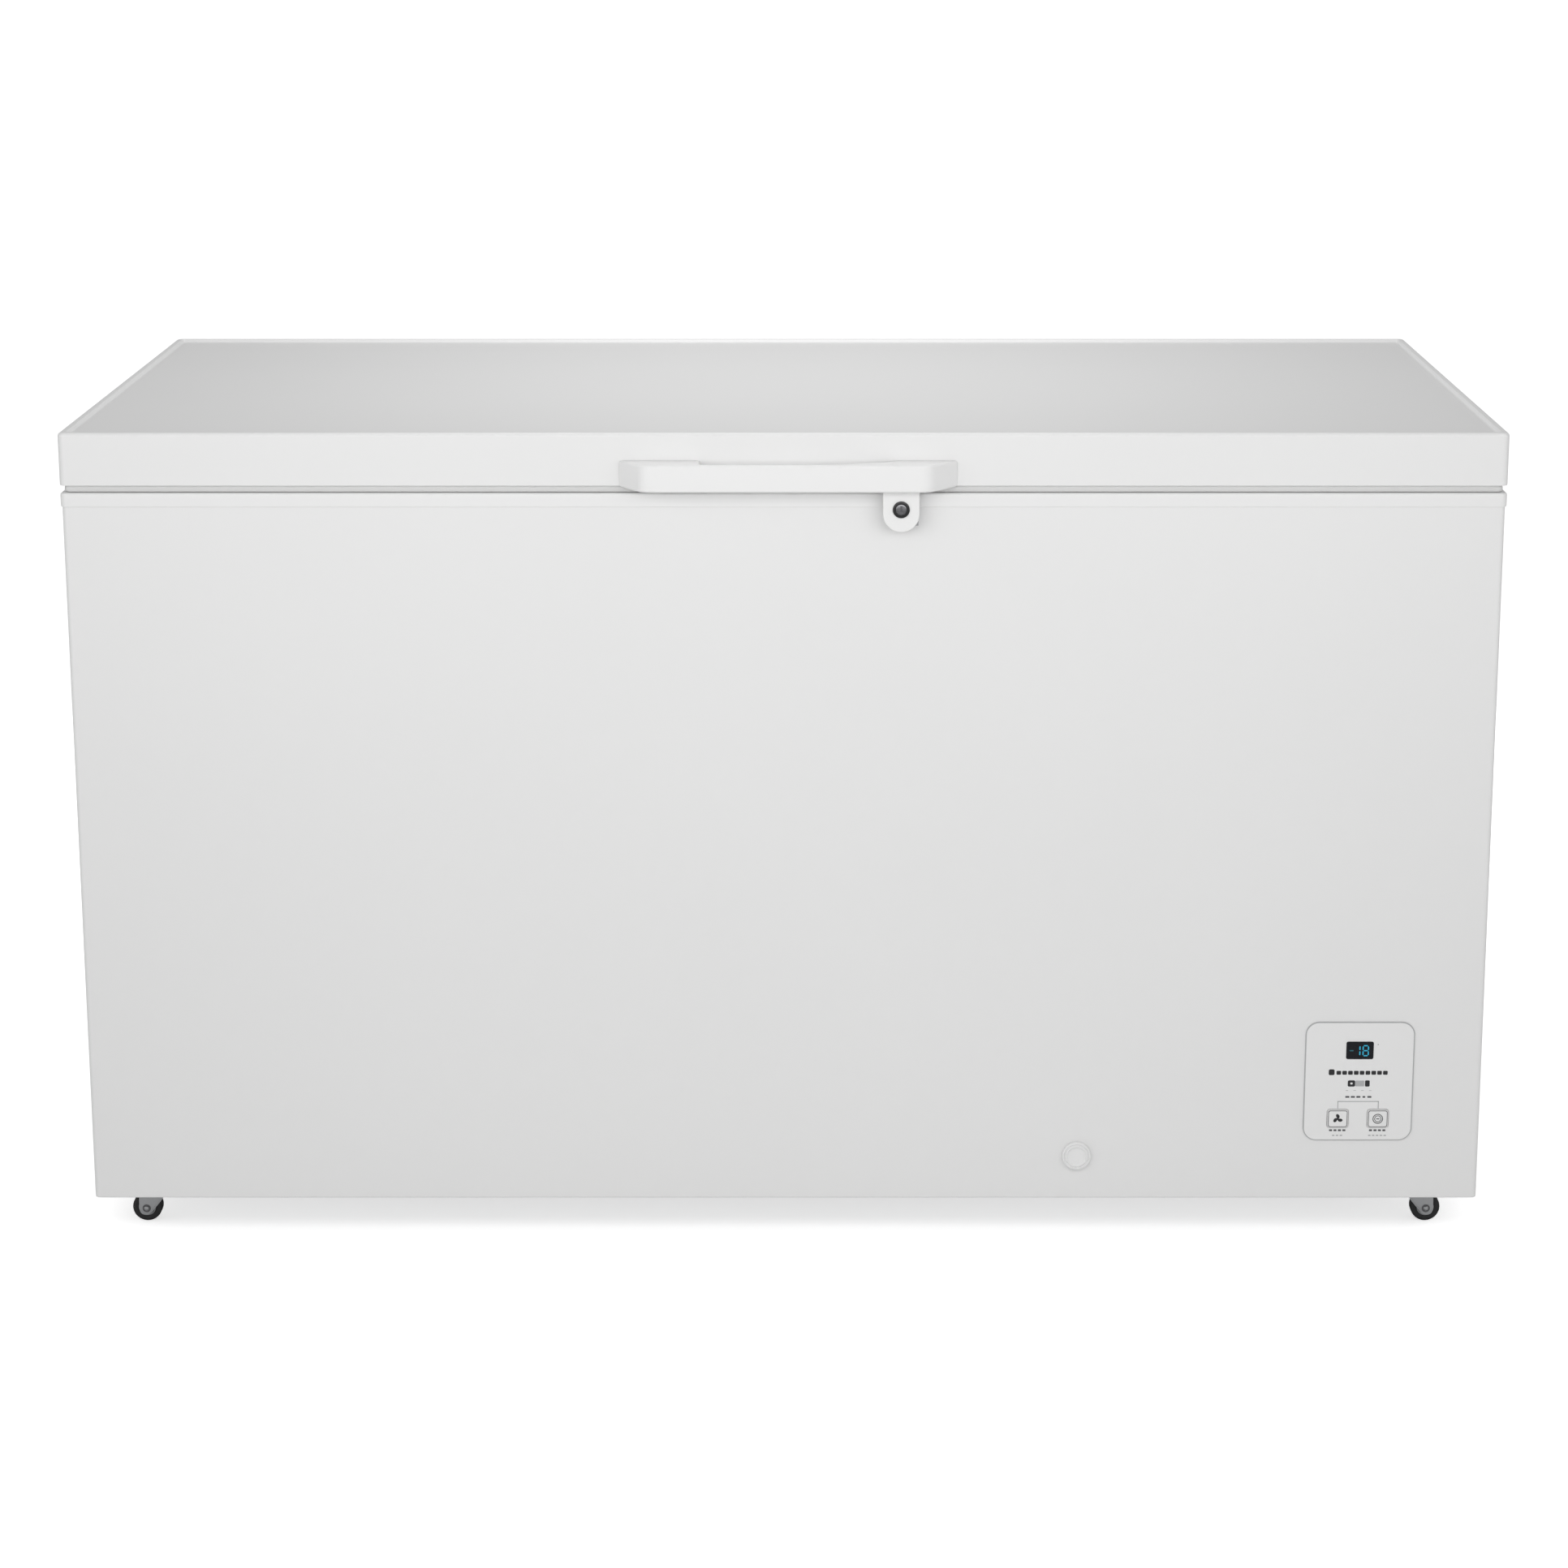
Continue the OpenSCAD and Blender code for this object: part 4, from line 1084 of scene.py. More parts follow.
@dataclass
class Lid:
    """Outer skin, inner liner and gasket of the lid.

    Attributes:
        palette: the finishes.
        outline: the shared outline.
        edge: radius of the skin's upper edge.
        lip: width of the raised border.
        dip: how far the middle lies below the border.
    """

    palette: Palette
    outline: Outline
    edge: float = 3.5
    lip: float = 10.0
    dip: float = 3.5

    def build(self) -> None:
        """Builds the three pieces."""
        self._skin()
        self._liner()
        self._gasket()

    def _skin(self) -> None:
        """Folded skin with a rolled edge and a raised border round the top."""
        low, high = box_mm("lid_skin")
        top, e = high.z, self.edge
        section = [(1.0, low.z + 1.0), (0.9, low.z + 0.2), (0.5, low.z), (0.15, low.z + 0.25),
                   (0.0, low.z + 1.0), *arc_points(e, top - e, e, 180, 90, 7)]
        section += [(self.lip - 3.2, top), (self.lip - 2.2, top - 0.25),
                    (self.lip - 0.8, top - self.dip + 0.9), (self.lip + 0.2, top - self.dip + 0.15),
                    (self.lip + 1.4, top - self.dip)]
        rings = [self.outline.ring(u, z, 6.0 - min(u, 11.0) * 0.4, 8) for u, z in section]
        made = Shape().loft(rings, caps=(False, True)).raw("lid_shell")
        Piece("lid_shell", "lid", "white_paint", ("lid_skin",), sharp=55).hand_over(made, self.palette)

    def _liner(self) -> None:
        """Formed inner panel whose middle hangs into the opening."""
        low, _ = box_mm("lid_liner")
        seat = low.z + 11.4
        section = [(1.4, seat + 1.8), (1.4, seat + 0.1), (58.0, seat + 0.05), (62.5, seat - 0.4),
                   (65.0, seat - 2.4), *arc_points(71.0, low.z + 5.0, 5.0, 180, 270, 5)]
        rings = [self.outline.ring(u, z, 4.7 if u < 30 else 34.0 - (u - 58) * 0.3, 8) for u, z in section]
        made = Shape().loft(rings, caps=(False, True)).raw("lid_inner_panel")
        thicken(made, 1.6, -1.0)
        Piece("lid_inner_panel", "lid", "white_liner", ("lid_liner",), sharp=50).hand_over(made, self.palette)

    def _gasket(self) -> None:
        """Soft seal with a bellows fold on its outer side."""
        low, high = box_mm("lid_gasket")
        z0, z1 = low.z, high.z
        h = z1 - z0
        a = self.outline.half - high.x
        section = [(a + 2.0, z1), (a + 0.9, z1 - 0.2), (a + 0.7, z1 - 0.9), (a + 0.05, z1 - h * 0.3),
                   (a, z1 - h * 0.45), (a, z1 - h * 0.6), (a + 0.2, z0 + 1.1), (a + 0.9, z0 + 0.25),
                   (a + 2.0, z0), (32.0, z0), (33.6, z0 + 0.4), (34.0, z0 + 1.4), (33.4, z1 - h * 0.5),
                   (34.0, z1 - 0.8), (33.4, z1)]
        rings = [self.outline.ring(u, z, 5.0 + (u - a) * 0.5, 8) for u, z in section]
        made = Shape().loft(rings, loop=True).raw("lid_seal")
        Piece("lid_seal", "lid", "rubber_grey", ("lid_gasket",), sharp=60).hand_over(made, self.palette)


# ---------------------------------------------------------------- handle and lock


@dataclass
class Handle:
    """The moulded bar handle with its finger gap and the lock's tab.

    Attributes:
        palette: the finishes.
        front_left: left end of the bar's front face.
        front_right: right end of the bar's front face.
        grip: thickness of the bar in front of the fingers.
        gap_left: left end of the finger gap.
        gap_right: right end of the finger gap.
        tab_radius: half width of the lock's tab.
        tab_reach: how far the tab's front face stands before the lid.
        tab_thick: thickness of the tab.
    """

    palette: Palette
    front_left: float = -139.5
    front_right: float = 144.4
    grip: float = 11.0
    gap_left: float = -83.0
    gap_right: float = 112.0
    tab_radius: float = 18.2
    tab_reach: float = 20.0
    tab_thick: float = 5.0

    def build(self) -> None:
        """Builds the bar and the tab as one moulding."""
        low, high = box_mm("handle")
        lid_low, _ = box_mm("lid_skin")
        lock_x, _, lock_z = middle(*box_mm("lock_barrel"))
        front, back = low.y, high.y
        bottom, top = lid_low.z - 1.0, high.z
        flat = [Vector((u, v, 0)) for u, v in (
            (low.x, back), (self.front_left, front), (self.front_right, front), (high.x, back))]
        outer = [flat[0], *corner_path(flat, 9.0, 8)[1:-1], flat[3]]
        gap = [Vector((self.gap_right, back, 0)), Vector((self.gap_right - 10, back - 9, 0)),
               Vector((self.gap_right - 58, front + self.grip, 0)),
               Vector((self.gap_left, front + self.grip, 0)), Vector((self.gap_left, back, 0))]
        rounded = corner_path(gap[:4], 24.0, 8)[:-1] + corner_path(gap[2:], 4.0, 5)[1:]
        outline = [(p.x, p.y) for p in outer] + [(p.x, p.y) for p in rounded]

        made = Shape().slab(outline, level_place, bottom, top).raw("handle_bar")
        round_edges(made, 2.6, 4, 60)
        rise = lock_z - 4.6
        tab = [(lock_x + u, rise + v) for u, v in arc_points(0, 0, self.tab_radius, 180, 360, 24)]
        tab += [(lock_x + self.tab_radius, bottom + 8), (lock_x - self.tab_radius, bottom + 8)]
        face = back - self.tab_reach
        plate = Shape().slab(tab, front_place, face, face + self.tab_thick).raw("handle_tab")
        round_edges(plate, 1.0, 3, 60)
        bake(made)
        bake(plate)
        carve(made, [plate], Cut.JOIN)
        bore = Shape().turn([(7.1, -10), (7.1, 10)], Vector((lock_x, face, lock_z)), ALONG_Y)
        carve(made, [bore.raw("cut_bore")])
        Piece("handle_moulding", "lid", "white_plastic", ("handle",), sharp=32).hand_over(made, self.palette)


@dataclass
class Lock:
    """Key barrel with its black collar.

    Attributes:
        palette: the finishes.
        collar: radius of the collar.
    """

    palette: Palette
    collar: float = 8.5

    def build(self) -> None:
        """Builds the barrel, its collar and the key's slot."""
        low, high = box_mm("lock_barrel")
        x, _, z = middle(low, high)
        centre = Vector((x, low.y, z))
        length = high.y - low.y
        made = Shape().turn([(5.6, 0.35), (5.9, 0.05), (7.6, 0.0), (8.3, 0.35), (self.collar, 1.3),
                             (5.6, 1.3)],
                            centre, ALONG_Y, finish=1, loop=True).raw("lock_collar")
        plug = Shape().turn([(0, 0.5), (4.6, 0.5), (5.3, 0.8), (5.5, 1.3), (6.95, 1.35), (6.95, 9.2),
                             (4.0, 9.3), (4.0, length - 0.4), (3.6, length), (0, length)],
                            centre, ALONG_Y).raw("lock_plug")
        slot = Shape().block((centre.x - 0.8, low.y - 2, centre.z - 3.6),
                             (centre.x + 0.8, low.y + 4, centre.z + 3.6)).raw("cut_key")
        carve(plug, [slot])
        Piece("lock_collar", "lock", "lock_metal", (), ("lock_metal", "lock_ring_black")).hand_over(
            made, self.palette)
        Piece("lock_plug", "lock", "lock_metal", ("lock_barrel",)).hand_over(plug, self.palette)


# ---------------------------------------------------------------- control panel


class Segment(Enum):
    """Bars of a seven-segment digit: start and end on a grid one wide and two high."""

    TOP = ((0, 2), (1, 2))
    UPPER_LEFT = ((0, 1), (0, 2))
    UPPER_RIGHT = ((1, 1), (1, 2))
    MIDDLE = ((0, 1), (1, 1))
    LOWER_LEFT = ((0, 0), (0, 1))
    LOWER_RIGHT = ((1, 0), (1, 1))
    BOTTOM = ((0, 0), (1, 0))


@dataclass
class ControlPanel:
    """Panel plate with its display, generic marks and two buttons.

    Attributes:
        palette: the finishes.
        corner: radius of the plate's corners.
        ink: thickness of printed marks.
        plate: thickness of the plate.
        border: width of the grey painted shade along the plate's edge.
        key_side: how far each button stands from the middle, sideways.
        key_drop: how far the buttons stand below the middle.
        low: lowest corner of the panel.
        high: its highest corner.
        x: its middle, sideways.
        z: its middle height.
        face: the plate's front face.
        seat: the plate's back face.
    """

    palette: Palette
    corner: float = 14.0
    ink: float = 0.12
    plate: float = 1.6
    border: float = 1.1
    key_side: float = 20.7
    key_drop: float = 40.1
    low: Vector = field(init=False)
    high: Vector = field(init=False)
    x: float = field(init=False)
    z: float = field(init=False)
    face: float = field(init=False)
    seat: float = field(init=False)

    def build(self) -> None:
        """Builds the plate, the display, the marks and the buttons."""
        self.low, self.high = box_mm("control_panel")
        self.x, _, self.z = middle(self.low, self.high)
        self.face = self.low.y
        self.seat = self.face + self.plate
        self._plate()
        self._display()
        self._marks()
        self._button("fridge_button", self._fan)
        self._button("freeze_button", self._dial)

    def _plate(self) -> None:
        """Plate with a thin grey line of painted shade along its edge, two button holes and its box behind.
        """
        w, h = self.high.x - self.low.x, self.high.z - self.low.z
        cx, cz = self.x, self.z
        drawn = drawn_in(cx, cz, w, h, self.corner, 10)
        rings = [[front_place(u, v, y) for u, v in drawn(i)] for i, y in (
            (0.0, self.seat), (0.0, self.face + 0.9), (0.35, self.face + 0.35), (1.1, self.face + 0.3),
            (1.35, self.face + 0.06), (1.8, self.face))]
        made = Shape().loft(rings).raw("panel_plate")
        hole = moved(rounded_rectangle(22.8, 20.8, 3.4), cx, cz)
        carve(made, [Shape().slab(moved(hole, s * self.key_side, -self.key_drop), front_place, self.face - 3,
                                  self.seat + 3).raw("cut_button") for s in (-1, 1)])
        # Faces along the plate's edge are coloured grey: painted shade standing in for the shadow line of the
        # groove round the plate.
        for face in made.data.polygons:
            centre = face.center / MM
            near = self._edge_distance(centre.x - cx, centre.z - cz, w, h)
            edge = near < self.border and face.normal.y < 0.5 and centre.y < self.seat - 0.2
            face.material_index = 1 if edge else 0
        Piece("panel_plate", "cabinet", "white_plastic", (), ("white_plastic", "grey_print_and_edge_shade"),
              sharp=30).hand_over(made, self.palette)
        outer = moved(rounded_rectangle(w - 15, h - 15, 7.5), cx, cz)
        inner = moved(rounded_rectangle(w - 19, h - 19, 5.5), cx, cz)
        back = self.high.y
        rings = [[front_place(u, v, y) for u, v in o] for o, y in (
            (outer, self.seat), (outer, back), (inner, back - 2), (inner, self.seat))]
        box = Shape().loft(rings, caps=(False, False), loop=True)
        box.slab(moved(rounded_rectangle(w - 17, h - 17, 6), cx, cz), front_place, back - 2, back - 0.1)
        Piece("panel_box", "cabinet", "white_plastic", ("control_panel",), bevel=0.4).hand_over(
            box.raw("panel_box"), self.palette)

    def _edge_distance(self, u: float, v: float, w: float, h: float) -> float:
        """Distance from a point to the plate's outline.

        Args:
            u: sideways place from the middle.
            v: height from the middle.
            w: the plate's width.
            h: the plate's height.

        Returns:
            The distance inwards.
        """
        r = self.corner
        du, dv = abs(u) - (w / 2 - r), abs(v) - (h / 2 - r)
        if du > 0 and dv > 0:
            return r - math.hypot(du, dv)
        return min(w / 2 - abs(u), h / 2 - abs(v))

    def _display(self) -> None:
        """Dark window with two lit digits and a dim minus sign."""
        low, high = box_mm("display_window")
        cx, _, cz = middle(low, high)
        drawn = drawn_in(cx, cz, high.x - low.x, high.z - low.z, 2.0)
        made = Shape().pillow(drawn, front_place, high.y, low.y + 0.02, 0.3).raw("display_glass")
        Piece("display_glass", "cabinet", "dark_window", ("display_window",)).hand_over(made, self.palette)
        digits = Shape()
        self._digit(digits, cx + 3.2, cz - 5.6, list(Segment), 0, low.y)
        self._digit(digits, cx - 5.5, cz - 5.6, [Segment.UPPER_RIGHT, Segment.LOWER_RIGHT], 0, low.y)
        self._digit(digits, cx - 11.4, cz - 5.6, [Segment.MIDDLE], 1, low.y)
        Piece("display_digits", "cabinet", "dark_window", (), ("digit_cyan", "digit_dim")).hand_over(
            digits.raw("display_digits"), self.palette)

    @staticmethod
    def _digit(shape: Shape, x: float, z: float, bars: Iterable[Segment], finish: int, y: float) -> None:
        """Adds one seven-segment digit.

        Args:
            shape: the shape to add to.
            x: its left side.
            z: its foot.
            bars: the bars that are lit.
            finish: index of the material.
            y: the window's front face.
        """
        unit, half, tip = 5.4, 0.62, 0.45
        for bar in bars:
            (u0, v0), (u1, v1) = bar.value
            a = Vector((x + u0 * unit, z + v0 * unit))
            b = Vector((x + u1 * unit, z + v1 * unit))
            way = (b - a).normalized()
            side = Vector((-way.y, way.x)) * half
            a, b = a + way * tip, b - way * tip
            points = [a, a + way * half + side, b - way * half + side, b, b - way * half - side,
                      a + way * half - side]
            shape.slab([(p.x, p.y) for p in points], front_place, y - 0.06, y + 0.2, finish)

    def _bar(self, shape: Shape, x: float, z: float, w: float, h: float, finish: int = 0,
             r: float = 0.3) -> None:
        """Adds a flat printed bar.

        Args:
            shape: the shape to add to.
            x: its middle.
            z: its middle height.
            w: its width.
            h: its height.
            finish: index of the material.
            r: corner radius.
        """
        shape.slab(moved(rounded_rectangle(w, h, min(r, h / 2.05, w / 2.05), 3), x, z), front_place,
                   self.face - self.ink, self.face + 0.1, finish)

    def _marks(self) -> None:
        """Generic print: a title row, an indicator tag, a caption row, a bracket and button captions."""
        shape = Shape()
        x, z = self.x, self.z
        self._bar(shape, x - 28.4, z + 10.2, 6.0, 6.3, 0, 1.4)
        for i in range(9):
            self._bar(shape, x - 21.0 + i * 6.0, z + 9.6, 4.8, 4.2, 0, 0.9)
        self._bar(shape, x - 7.6, z - 2.0, 7.6, 6.8, 0, 1.4)
        self._bar(shape, x + 1.0, z - 2.0, 9.2, 6.2, 1, 0.6)
        self._bar(shape, x + 8.8, z - 2.0, 4.8, 6.8, 0, 1.2)
        for i in range(5):
            self._bar(shape, x - 11.4 + i * 5.7, z - 16.6, 4.2 if i != 3 else 2.8, 1.9, 2, 0.5)
        for dx in (-12.0, -4.0, 4.0, 12.0):
            self._bar(shape, x + dx, z - 9.6, 2.6, 0.5, 3, 0.2)
        self._bar(shape, x, z - 21.6, 42.6, 0.9, 3, 0.4)
        for s in (-1, 1):
            caption = x + s * self.key_side
            start, count = (4, 3) if s < 0 else (8, 5)
            self._bar(shape, x + s * 20.9, z - 25.2, 0.9, 8.0, 3, 0.4)
            for i in range(4):
                self._bar(shape, caption - 6.9 + i * 4.6, z - 53.0, 3.2, 2.0, 2, 0.5)
            for i in range(count):
                self._bar(shape, caption - start + i * 4, z - 58.6, 2.6, 1.3, 3, 0.4)
        self._bar(shape, x + 18.6, z + 40.2, 0.9, 0.9, 2, 0.4)
        Piece("panel_marks", "cabinet", "white_plastic", (),
              ("ink_black", "grey_print_and_edge_shade", "ink_grey", "grey_print_and_edge_shade")).hand_over(
            shape.raw("panel_marks"), self.palette)
        light = Shape().slab(moved(rounded_rectangle(2.4, 2.0, 0.9, 4), x - 7.6, z - 2.0), front_place,
                             self.face - self.ink - 0.05, self.face)
        Piece("panel_lamp", "cabinet", "white_plastic").hand_over(light.raw("panel_lamp"), self.palette)

    def _button(self, node: str, icon: Callable[[Shape, float, float, float], None]) -> None:
        """Builds one push button and the icon on it.

        Args:
            node: the CAD node and body of the button.
            icon: adds the icon to a shape.
        """
        low, high = box_mm(node)
        cx, _, cz = middle(low, high)
        y = low.y
        shape = Shape().pillow(drawn_in(cx, cz, 22, 20, 3), front_place, self.seat - 0.2, y, 0.7)
        shape.slab(moved(rounded_rectangle(25, 23, 3), cx, cz), front_place, self.seat + 0.2, self.seat + 1.4)
        shape.turn([(2.5, 0), (2.5, high.y - self.seat - 1.5), (2.2, high.y - self.seat - 1.2)],
                   Vector((cx, self.seat + 1.2, cz)), ALONG_Y, 20)
        Piece(node + "_key", node, "white_plastic", (node,)).hand_over(shape.raw(node), self.palette)
        printed = Shape()
        outer = rounded_rectangle(21.6, 19.6, 2.8)
        inner = rounded_rectangle(18.6, 16.6, 1.8)
        levels = (y - self.ink, y + 0.6)
        rings = [[front_place(cx + u, cz + v, d) for u, v in o] for o, d in (
            (outer, levels[1]), (outer, levels[0] + 0.25), (inner, levels[0]), (inner, levels[1]))]
        printed.loft(rings, caps=(False, False), loop=True, finish=1)
        icon(printed, cx, cz, y)
        Piece(node + "_print", node, "white_plastic", (), ("ink_black", "ink_grey")).hand_over(
            printed.raw(node + "_print"), self.palette)

    def _fan(self, shape: Shape, x: float, z: float, y: float) -> None:
        """Adds a three-blade fan.

        Args:
            shape: the shape to add to.
            x: its middle.
            z: its middle height.
            y: the key's front face.
        """
        for blade in range(3):
            a = math.radians(90 + 120 * blade)
            cx, cz = x + 2.9 * math.cos(a), z + 2.9 * math.sin(a)
            points = []
            for k in range(16):
                b = 2 * math.pi * k / 16
                u, v = 2.5 * math.cos(b), 1.7 * math.sin(b)
                points.append((cx + u * math.cos(a + 0.5) - v * math.sin(a + 0.5),
                               cz + u * math.sin(a + 0.5) + v * math.cos(a + 0.5)))
            shape.slab(points, front_place, y - self.ink - 0.01 * blade, y + 0.3)
        shape.slab([(x + 1.3 * math.cos(b / 10 * math.pi), z + 1.3 * math.sin(b / 10 * math.pi))
                    for b in range(20)], front_place, y - self.ink - 0.05, y + 0.3)

    def _dial(self, shape: Shape, x: float, z: float, y: float) -> None:
        """Adds a ring with a bar across its middle.

        Args:
            shape: the shape to add to.
            x: its middle.
            z: its middle height.
            y: the key's front face.
        """
        for outer, inner in ((5.4, 4.5), (3.6, 2.9)):
            shape.turn([(inner, 0.1), (outer, 0.1), (outer, 0.5), (inner, 0.5)],
                       Vector((x, y - self.ink - 0.1, z)), ALONG_Y, 28, finish=1, loop=True)
        shape.slab(moved(rounded_rectangle(3.4, 1.0, 0.4, 3), x, z), front_place, y - self.ink, y + 0.3, 1)


# ---------------------------------------------------------------- small parts


@dataclass
class DrainFittings:
    """The cap on the front and the bung inside the tub.

    Attributes:
        palette: the finishes.
    """

    palette: Palette

    def build(self) -> None:
        """Builds the cap and the bung."""
        low, high = box_mm("drain_cap")
        x, _, z = middle(low, high)
        profile = [(0, 3.2), (3.0, 3.2), (8.6, 3.3), (9.3, 3.7), (9.7, 4.3), (10.2, 4.58), (10.9, 4.58),
                   (11.4, 4.2), (11.6, 3.5), (12.5, 3.4), (12.8, 4.0), (13.3, 4.5), (14.1, 4.5), (14.8, 3.9),
                   (15.0, 3.0), (15.0, 0.6), (14.6, 0.0), (8.6, 0.0), (8.6, -12.6), (7.6, -13.9), (0, -13.9)]
        shape = Shape().turn(profile, Vector((x, high.y - 14.0, z)), -ALONG_Y, 56)
        Piece("drain_cap_cover", "drain_cap", "white_plastic", ("drain_cap",), sharp=45).hand_over(
            shape.raw("drain_cap_cover"), self.palette)
        low, high = box_mm("drain_bung")
        x, y, _ = middle(low, high)
        centre = Vector((x, y, low.z + 10.0))
        shape = Shape().turn([(0, -10), (5.8, -10), (6.9, -8.6), (7.1, -0.4), (7.1, 0), (14.4, 0), (15, 0.7),
                              (14.7, 2.3), (13.6, 3.0), (0, 3.0)], centre, ALONG_Z, 44)
        grip = [(u, min(v, 12.0)) for u, v in ((-7, 2.5), (7, 2.5), *arc_points(0, 5.2, 7.0, 0, 180, 12))]
        shape.slab(grip, lambda u, v, d: Vector((centre.x + u, centre.y + d, centre.z + v)), -1.5, 1.5)
        Piece("drain_bung_plug", "drain_bung", "white_plastic", ("drain_bung",), sharp=45).hand_over(
            shape.raw("drain_bung_plug"), self.palette)


@dataclass
class Casters:
    """Four swivel casters: pressed fork, ribbed hub and solid tyre.

    Attributes:
        palette: the finishes.
        corners: suffixes of the four casters' nodes.
        hub: radius of the hub.
    """

    palette: Palette
    corners: tuple[str, ...] = ("front_left", "front_right", "rear_left", "rear_right")
    hub: float = 9.0

    def build(self) -> None:
        """Builds the wheel and the fork of each caster."""
        for corner in self.corners:
            self._wheel(corner)
            self._fork(corner)

    def _wheel(self, corner: str) -> None:
        """Builds one hub and its tyre.

        Args:
            corner: suffix of the caster's nodes.
        """
        low, high = box_mm("tyre_" + corner)
        centre = (low + high) / 2
        r, w = (high.z - low.z) / 2, (high.y - low.y) / 2
        axis, h = ALONG_Y, self.hub
        section = [(h, -w + 0.5), (h + 0.7, -w), (r - 2.6, -w),
                   *arc_points(r - 2.2, -w + 2.2, 2.2, 270, 360, 5),
                   (r, 0.0), *arc_points(r - 2.2, w - 2.2, 2.2, 0, 90, 5), (r - 2.6, w), (h + 0.7, w),
                   (h, w - 0.5)]
        shape = Shape().turn(section, centre, axis, 48, loop=True)
        for s in (-1, 1):
            shape.turn([(r - 3.4, s * (w - 0.1)), (r - 3.1, s * w), (r - 2.8, s * (w - 0.1))], centre, axis,
                       48, loop=True)
        Piece("tread_" + corner, "wheel_" + corner, "tyre_black", ("tyre_" + corner,), sharp=50).hand_over(
            shape.raw("tread_" + corner), self.palette)
        core = Shape().turn([(2.6, -w), (4.2, -w), (4.6, -w + 0.5), (4.8, -w + 2), (7.2, -w + 2),
                             (7.5, -w + 0.4), (8.0, -w), (h, -w + 0.2), (h, w - 0.2), (8.0, w),
                             (7.5, w - 0.4), (7.2, w - 2), (4.8, w - 2), (4.6, w - 0.5), (4.2, w), (2.6, w)],
                            centre, axis, 40, loop=True)
        for k in range(5):
            a = 2 * math.pi * k / 5
            way = Vector((math.cos(a), 0, math.sin(a)))
            side = Vector((-math.sin(a), 0, math.cos(a))) * 0.5
            for s in (-1, 1):
                points = [centre + way * 4.4 - side, centre + way * 7.5 - side, centre + way * 7.5 + side,
                          centre + way * 4.4 + side]
                core.loft([[p + axis * s * depth for p in points] for depth in (w - 2.2, w - 0.6)])
        Piece("wheel_core_" + corner, "wheel_" + corner, "grey_plastic", ("hub_" + corner,),
              sharp=35).hand_over(core.raw("wheel_core_" + corner), self.palette)

    def _fork(self, corner: str) -> None:
        """Builds one fork with its rivet and a dark ring of painted shade round the rivet head.

        Args:
            corner: suffix of the caster's nodes.
        """
        _, high = box_mm("fork_" + corner)
        x, y, z = middle(*box_mm("tyre_" + corner))
        side = 1 if corner.endswith("right") else -1
        axle = Vector((x, y, z))
        pivot = axle.x - side * 12.0
        top = high.z
        shape = Shape()
        shape.turn([(4.1, -2.0), (12.4, -2.0), (13.0, -1.4), (12.9, -0.5), (12.2, 0), (9.2, 0), (8.6, -0.5),
                    (7.0, -0.5), (6.4, 0), (4.1, 0)], Vector((pivot, y, top)), ALONG_Z, 40, loop=True)
        legs = [Vector((axle.x - side * u, 0, axle.z + v)) for u, v in (
            (3.6, top - 0.6 - axle.z), (-7.6, 13.0), (-7.9, -1.5), (-5.6, -6.6), (0.0, -7.7), (3.6, -6.2),
            (15.4, 8.6), (20.2, 16.0), (20.2, top - 0.6 - axle.z))]
        outline = [(p.x, p.z) for p in corner_path(legs, 2.6, 5, closed=True)]
        fold = [Vector((axle.x - side * u, 0, axle.z + v)) for u, v in (
            (4.4, -5.2), (15.4, 8.4), (19.6, 14.8), (18.6, 15.4), (14.5, 9.0), (3.8, -4.4))]
        for s in (-1, 1):
            inner, outer = y + s * 8.6, y + s * 10.6
            shape.slab(outline, front_place, inner, outer)
            shape.slab([(p.x, p.z) for p in fold], front_place, outer - 0.4, outer + s * 1.8)
            rivet = Vector((axle.x, outer, axle.z))
            shape.turn([(0, 1.4), (1.6, 1.35), (2.5, 0.8), (2.8, 0.0), (0, 0)], rivet, Vector((0, s, 0)), 28)
            # The dark steel ring round each rivet head is painted shade: it stands for the shadow in the gap
            # round the head.
            shape.turn([(2.8, 0), (4.4, 0), (4.4, 0.3), (3.6, 0.5), (2.8, 0.3)], rivet, Vector((0, s, 0)), 28,
                       finish=1, loop=True)
        shape.turn([(2.5, -8.6), (2.5, 8.6)], axle, ALONG_Y, 20)
        Piece("yoke_" + corner, "caster_" + corner, "zinc_steel", ("fork_" + corner,),
              ("zinc_steel", "dark_steel"), bevel=0.35).hand_over(shape.raw("yoke_" + corner), self.palette)


